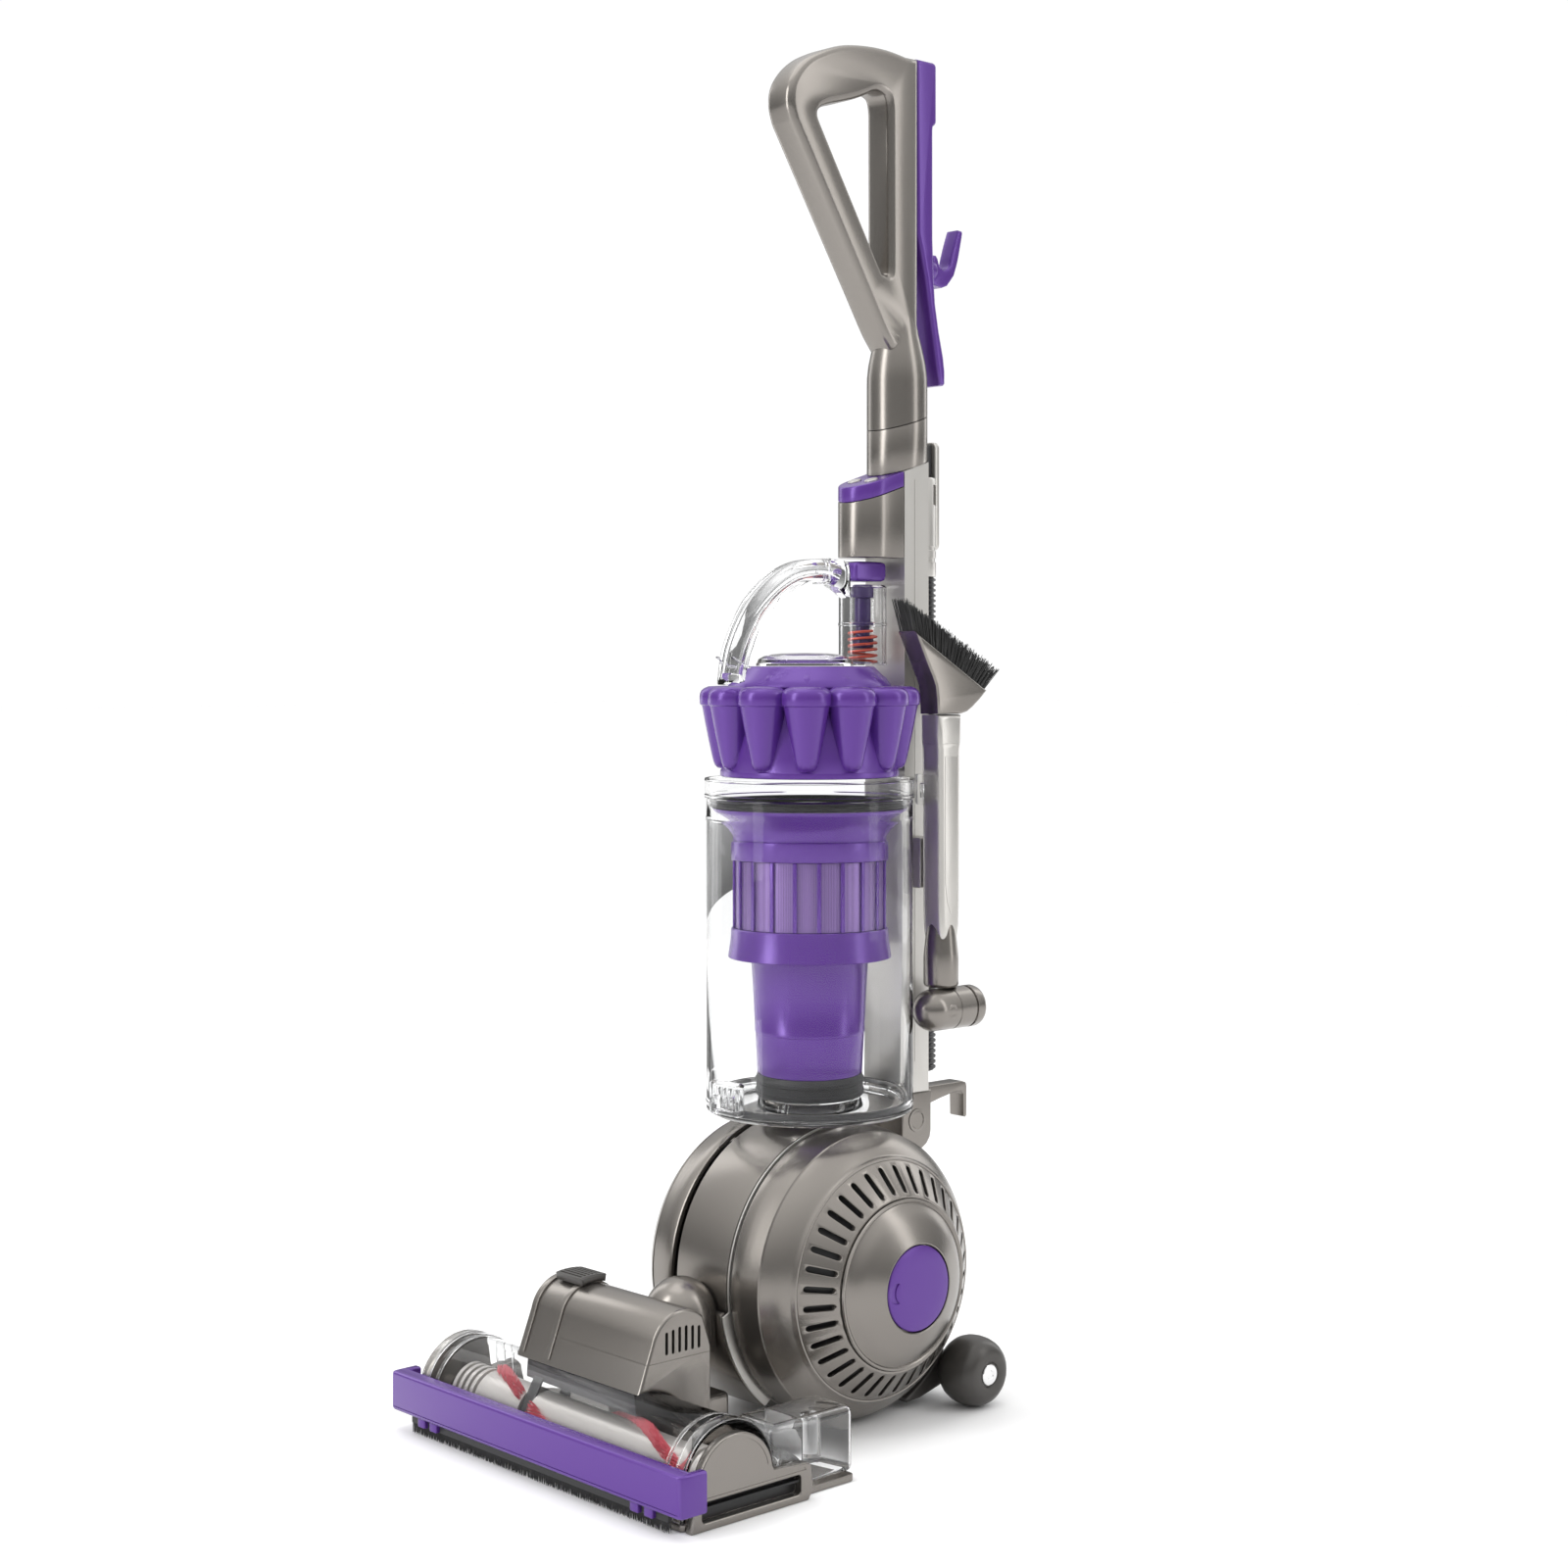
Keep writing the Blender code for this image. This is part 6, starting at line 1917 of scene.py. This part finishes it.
@dataclass
class CyclonePack(Assembly):
    """The ring of purple cyclones over the bin, the clear cap on top and the neck into the bin."""

    spine: Spine
    count: int = 12
    pitch: float = 0.0665
    cone_r: float = 0.0195

    def build(self) -> None:
        """Make the pack and its cap."""
        self.pack()
        self.cap()

    def pack(self) -> None:
        """Unite the cones with the round body, and cut the back flat."""
        r = self.cone_r
        body = [
            (0.5620, 0.0), (0.5620, 0.0430), (0.4905, 0.0450), (0.4905, 0.0690), (0.4912, 0.0698),
            (0.4950, 0.0698),
            (0.4960, 0.0690), (0.5050, 0.0678), (0.5200, 0.0655), (0.5450, 0.0615), (0.5560, 0.0600),
            (0.5600, 0.0640),
            (0.5625, 0.0630), (0.5660, 0.0600), (0.5700, 0.0560), (0.5740, 0.0520), (0.5756, 0.0505),
            (0.5760, 0.0490),
            (0.5760, 0.0),
        ]
        pack = lathe("cyclones", body, Axis.Z, steps=144)
        cone = [
            (0.4962, 0.0), (0.4962, 0.0030), (0.4970, 0.0056), (0.4990, 0.0076), (0.5020, 0.0088),
            (0.5080, 0.0102),
            (0.5200, 0.0128), (0.5320, 0.0152), (0.5430, 0.0172), (0.5455, 0.0178), (0.5462, 0.0190),
            (0.5475, r),
            (0.5520, r), (0.5550, r - 0.0003), (0.5572, r - 0.0014), (0.5590, r - 0.0035),
            (0.5604, r - 0.0070), (0.5610, 0.0),
        ]
        lobe = lathe("lobe", cone, Axis.Z, (self.pitch, 0.0), 48)
        bump = [
            (0.5560, 0.0), (0.5560, 0.0082), (0.5625, 0.0080), (0.5660, 0.0070), (0.5680, 0.0052),
            (0.5692, 0.0030), (0.5696, 0.0),
        ]
        knob = lathe("knob", bump, Axis.Z, (0.0530, 0.0), 32)
        lean = about(Axis.Y, (0.0530, 0.0, 0.5600), math.radians(18))
        knob.data.transform(lean)
        for index in range(self.count):
            turn = Matrix.Rotation(math.tau * (index + 0.5) / self.count, 4, "Z")
            unite(pack, copied(lobe, turn), copied(knob, turn))
        for helper in (lobe, knob):
            bpy.data.objects.remove(helper, do_unlink=True)
        sliced(pack, (0.0, self.spine.front - 0.0005, 0.0), (0.0, 1.0, 0.0))
        soften(pack, 0.0010, 3, 38)
        self.dress(pack, PURPLE, "bin", "cyclone_pack", angle=60)

    def cap(self) -> None:
        """The low clear cap with its stepped edge."""
        profile = [
            (0.5763, 0.0), (0.5763, 0.0380), (0.5780, 0.0380), (0.5788, 0.0372), (0.5815, 0.0362),
            (0.5838, 0.0320),
            (0.5852, 0.0260), (0.5860, 0.0180), (0.5863, 0.0),
        ]
        cap = lathe("clear_cap", profile, Axis.Z, (0.0, -0.0050), 96)
        self.dress(cap, CLEAR, "bin", "cyclone_top", angle=35)


@dataclass
class CarryHandle(Assembly):
    """The clear carrying arch and column on the bin, with the purple trigger, rod and spring."""

    half: float = 0.0095
    column: Pair = (0.0, 0.0577)
    column_r: float = 0.0190

    def build(self) -> None:
        """Make the arch, the column and the release in it."""
        self.arch()
        self.tower()
        self.release()

    def arch(self) -> None:
        """The hollow clear arch, rounded on its edges, with a seam ring at its crown."""
        outer = flowing([
            (-0.0900, 0.5620), (-0.0885, 0.5750), (-0.0840, 0.5930), (-0.0700, 0.6195), (-0.0560, 0.6350),
            (-0.0400, 0.6470),
            (-0.0220, 0.6555), (-0.0050, 0.6590), (0.0150, 0.6600), (0.0330, 0.6590), (0.0375, 0.6540),
            (0.0380, 0.6410),
        ], 6)
        inner = flowing([
            (0.0380, 0.6300), (0.0300, 0.6350), (0.0150, 0.6410), (0.0000, 0.6412), (-0.0150, 0.6378),
            (-0.0300, 0.6300),
            (-0.0450, 0.6180), (-0.0580, 0.6020), (-0.0670, 0.5850), (-0.0720, 0.5700),
        ], 6)
        foot = [(-0.0735, 0.5640), (-0.0800, 0.5625)]
        arch = slab("clear_arch_grip", [outer + inner + foot], Axis.X, (-self.half, self.half), 0.0048)
        path = [
            ((a[0] + b[0]) / 2, (a[1] + b[1]) / 2) for a,
            b in zip(outer[:54], self.matched(outer[:54], inner))
        ]
        core = pipe("core", [(0.0, y, z) for y, z in path[4:]], 0.0062, 24)
        cut(arch, core)
        self.dress(arch, CLEAR, "bin", "carry_handle", angle=38)
        seams = []
        for y, z, lean in ((0.0130, 0.6505, 0.0), (-0.0795, 0.5790, 66.0)):
            ring = block(
                "arch_seam", (-0.0098, 0.0098), (y - 0.0007, y + 0.0007), (z - 0.0100, z + 0.0098), 0.0004
            )
            ring.data.transform(about(Axis.X, (0.0, y, z), math.radians(lean)))
            cut(
                ring,
                block("arch_space", (-0.0080, 0.0080), (y - 0.02, y + 0.02), (z - 0.0078, z + 0.0076), 0.0),
            )
            seams.append(ring)
        self.dress(gather("arch_seams", seams), CLEAR, "bin")

    @staticmethod
    def matched(points: Sequence[Pair], others: Sequence[Pair]) -> list[Pair]:
        """For each point, the nearest of the others."""
        return [min(others, key=lambda other: math.dist(point, other)) for point in points]

    def tower(self) -> None:
        """The clear column: a tube with a rounded top and two bands."""
        r = self.column_r
        profile = [
            (0.5768, r - 0.0020), (0.5768, r + 0.0006), (0.5785, r + 0.0006), (0.5790, r), (0.6080, r),
            (0.6084, r + 0.0005),
            (0.6100, r + 0.0005), (0.6104, r), (0.6385, r), (0.6400, r - 0.0012), (0.6405, r - 0.0024),
        ]
        tube = lathe("clear_column", profile, Axis.Z, self.column, 80)
        self.dress(tube, CLEAR, "bin", angle=38)

    def release(self) -> None:
        """The purple trigger over the column, the rod and spool in it, and the red spring below."""
        trigger = [
            (0.0392, 0.6455), (0.0410, 0.6436), (0.0450, 0.6432), (0.0690, 0.6432), (0.0725, 0.6445),
            (0.0738, 0.6480),
            (0.0738, 0.6560), (0.0720, 0.6582), (0.0690, 0.6588), (0.0560, 0.6590), (0.0440, 0.6588),
            (0.0405, 0.6578),
            (0.0392, 0.6550),
        ]
        key = slab("trigger", [trigger], Axis.X, (-0.0110, 0.0110), 0.0022)
        self.dress(key, PURPLE, "trigger", "release_trigger", angle=38)
        rod = [
            (0.5905, 0.0), (0.5905, 0.0072), (0.5920, 0.0088), (0.5990, 0.0088), (0.5996, 0.0058),
            (0.6080, 0.0058),
            (0.6086, 0.0088), (0.6110, 0.0088), (0.6116, 0.0064), (0.6300, 0.0064), (0.6306, 0.0088),
            (0.6385, 0.0088), (0.6388, 0.0),
        ]
        self.dress(
            lathe("rod", rod, Axis.Z, self.column, 48), DARK_PURPLE, "bin", "release_rod", angle=35
        )
        y = self.column[1]
        coil = []
        for index in range(121):
            angle = math.tau * index / 24
            coil.append(
                (0.0110 * math.cos(angle), y + 0.0110 * math.sin(angle), 0.5790 + 0.0250 * index / 120)
            )
        self.dress(pipe("red_spring", coil, 0.0011, 8), RED_METAL, "bin")


@dataclass
class BrushTool(Assembly):
    """The brush tool clipped to the spine's right side, and the elbow that turns at its foot."""

    x: Pair = (0.0400, 0.0620)
    y: Pair = (0.0810, 0.1080)
    tufts: int = 26

    def build(self) -> None:
        """Make each piece of the tool in turn."""
        self.body()
        self.holder()
        self.bristles()
        self.elbow()

    def body(self) -> None:
        """The light body: neck block, slim barrel with a pointed face, and the round collar."""
        low_y, high_y = self.y
        low_x, high_x = self.x
        side = [
            (low_y + 0.0045, 0.3600), (high_y - 0.0045, 0.3600), (high_y - 0.0026, 0.3720),
            (high_y - 0.0020, 0.3900),
            (high_y - 0.0012, 0.5100), (high_y - 0.0004, 0.5150), (high_y, 0.5200), (high_y, 0.5379),
            (low_y, 0.5379),
            (low_y, 0.5200), (low_y + 0.0004, 0.5150), (low_y + 0.0012, 0.5100), (low_y + 0.0020, 0.3900),
            (low_y + 0.0026, 0.3720),
        ]
        body = slab("tool_barrel", [side], Axis.X, (low_x, high_x), 0.0045)
        middle = (sum(self.x) / 2, sum(self.y) / 2)
        collar = [
            (0.3230, 0.0), (0.3230, 0.0118), (0.3240, 0.0132), (0.3256, 0.0139), (0.3460, 0.0139),
            (0.3500, 0.0136),
            (0.3650, 0.0120), (0.3800, 0.0100), (0.3800, 0.0),
        ]
        self.dress(lathe("tool_collar", collar, Axis.Z, middle, 64), IRON, "tool", angle=35)
        cut(body, self.line_round(0.5151))
        self.dress(body, SILVER, "tool", "tool_body", angle=35)
        face = [
            (0.0877, 0.5050), (0.0877, 0.4060), (0.0900, 0.3900), (0.0945, 0.3800), (0.0990, 0.3900),
            (0.1013, 0.4060), (0.1013, 0.5050),
        ]
        plate = slab("tool_face", [face], Axis.X, (high_x - 0.0006, high_x + 0.0004), 0.0003)
        self.dress(plate, SILVER, "tool")

    def line_round(self, z: float) -> Object:
        """A thin frame that cuts a line round the body at a height."""
        low_x, high_x = self.x
        low_y, high_y = self.y
        outer = [
            (low_x - 0.01, low_y - 0.01), (high_x + 0.01, low_y - 0.01), (high_x + 0.01, high_y + 0.01),
            (low_x - 0.01, high_y + 0.01),
        ]
        inner = rounded((low_x + 0.0004, high_x - 0.0004), (low_y + 0.0008, high_y - 0.0008), 0.0040)
        return slab("frame", [outer, inner], Axis.Z, (z - 0.0003, z + 0.0003), 0.00005)

    def holder(self) -> None:
        """The angled grey holder of the bristles, with a lip along its upper edge."""
        outline = [
            (0.0560, 0.6035), (0.0590, 0.5985), (0.0645, 0.5880), (0.0710, 0.5760), (0.0765, 0.5670),
            (0.0795, 0.5600),
            (0.0808, 0.5500), (0.0812, 0.5384), (0.1080, 0.5384), (0.1150, 0.5400), (0.1214, 0.5437),
            (0.1300, 0.5500),
            (0.1378, 0.5566),
        ]
        piece = slab("brush_holder", [outline], Axis.X, (self.x[0], self.x[1] - 0.0010), 0.0022)
        self.dress(piece, IRON, "tool", "tool_brush_holder", angle=35)

    def bristles(self) -> None:
        """The fan of bristles: a grid of tufts, each of several strands, lying flat on the holder."""
        draw = random.Random(23)
        start, end = Vector((0.0, 0.0575, 0.6030)), Vector((0.0, 0.1365, 0.5578))
        tip_start, tip_end = Vector((0.0, 0.0487, 0.6290)), Vector((0.0, 0.1545, 0.5738))
        places = []
        for index in range(self.tufts):
            share = index / (self.tufts - 1)
            root, tip = start.lerp(end, share), tip_start.lerp(tip_end, share)
            for row in range(5):
                x = self.x[0] + 0.0042 + 0.0032 * row
                for _ in range(13):
                    jog = Vector(
                        (
                            draw.uniform(-0.0012, 0.0012), draw.uniform(-0.0011, 0.0011),
                            draw.uniform(-0.0006, 0.0006),
                        )
                    )
                    way = (tip - root) + Vector(
                        (draw.uniform(-0.0016, 0.0016), draw.uniform(-0.0016, 0.0016), 0.0)
                    )
                    stretch = Matrix.Diagonal((1, 1, way.length * draw.uniform(0.90, 1.0) / TOOL_HAIR, 1))
                    turn = way.to_track_quat("Z", "X").to_matrix().to_4x4()
                    places.append(Matrix.Translation(Vector((x, 0, 0)) + root + jog) @ turn @ stretch)
        hairs = scattered("tool_hairs", strand(0.00036, TOOL_HAIR, 0.6), places)
        self.dress(hairs, BRISTLE, "tool", "tool_bristles")

    def elbow(self) -> None:
        """The elbow: a barrel along Y with a round front, a groove, a rear cap and a pin on its side."""
        r = 0.0165
        dome = [
            (0.0800 - r * math.cos(math.radians(a)), r * math.sin(math.radians(a))) for a in range(0, 91, 9)
        ]
        profile = [(0.0635, 0.0)] + dome[1:]
        profile += [
            (0.0960, r), (0.0964, r - 0.0006), (0.0970, r - 0.0006), (0.0974, r), (0.1136, r),
            (0.1140, r - 0.0004),
        ]
        profile += [
            (0.1142, 0.0150), (0.1158, 0.0150), (0.1160, r - 0.0004), (0.1164, r), (0.1225, r),
            (0.1245, 0.0158), (0.1258, 0.0140), (0.1260, 0.0),
        ]
        piece = lathe("elbow_barrel", profile, Axis.Y, (0.0560, 0.3060), 80)
        self.dress(piece, IRON, "tool_elbow", "tool_elbow", angle=35)
        pin = [
            (0.0690, 0.0), (0.0690, 0.0058), (0.0720, 0.0058), (0.0724, 0.0052), (0.0724, 0.0032),
            (0.0716, 0.0028), (0.0716, 0.0),
        ]
        self.dress(lathe("elbow_pin", pin, Axis.X, (0.0860, 0.3060), 40), IRON, "tool_elbow")


def main() -> None:
    """Build the studio and then the machine, one sub-assembly after another."""
    logging.basicConfig(level=logging.INFO, format="%(message)s")
    machine = Machine()
    Studio(machine).build()
    spine = Spine(machine)
    assemblies = (
        Ball(machine), Yoke(machine), Stand(machine), FloorHead(machine), BrushBar(machine),
        MotorHousing(machine),
        spine, Hose(machine), Wand(machine, spine), Bin(machine), Shroud(machine),
        CyclonePack(machine, spine),
        CarryHandle(machine), BrushTool(machine),
    )
    for assembly in assemblies:
        assembly.build()
        LOG.info("%s is in place", type(assembly).__name__)


if __name__ == "__main__":
    main()
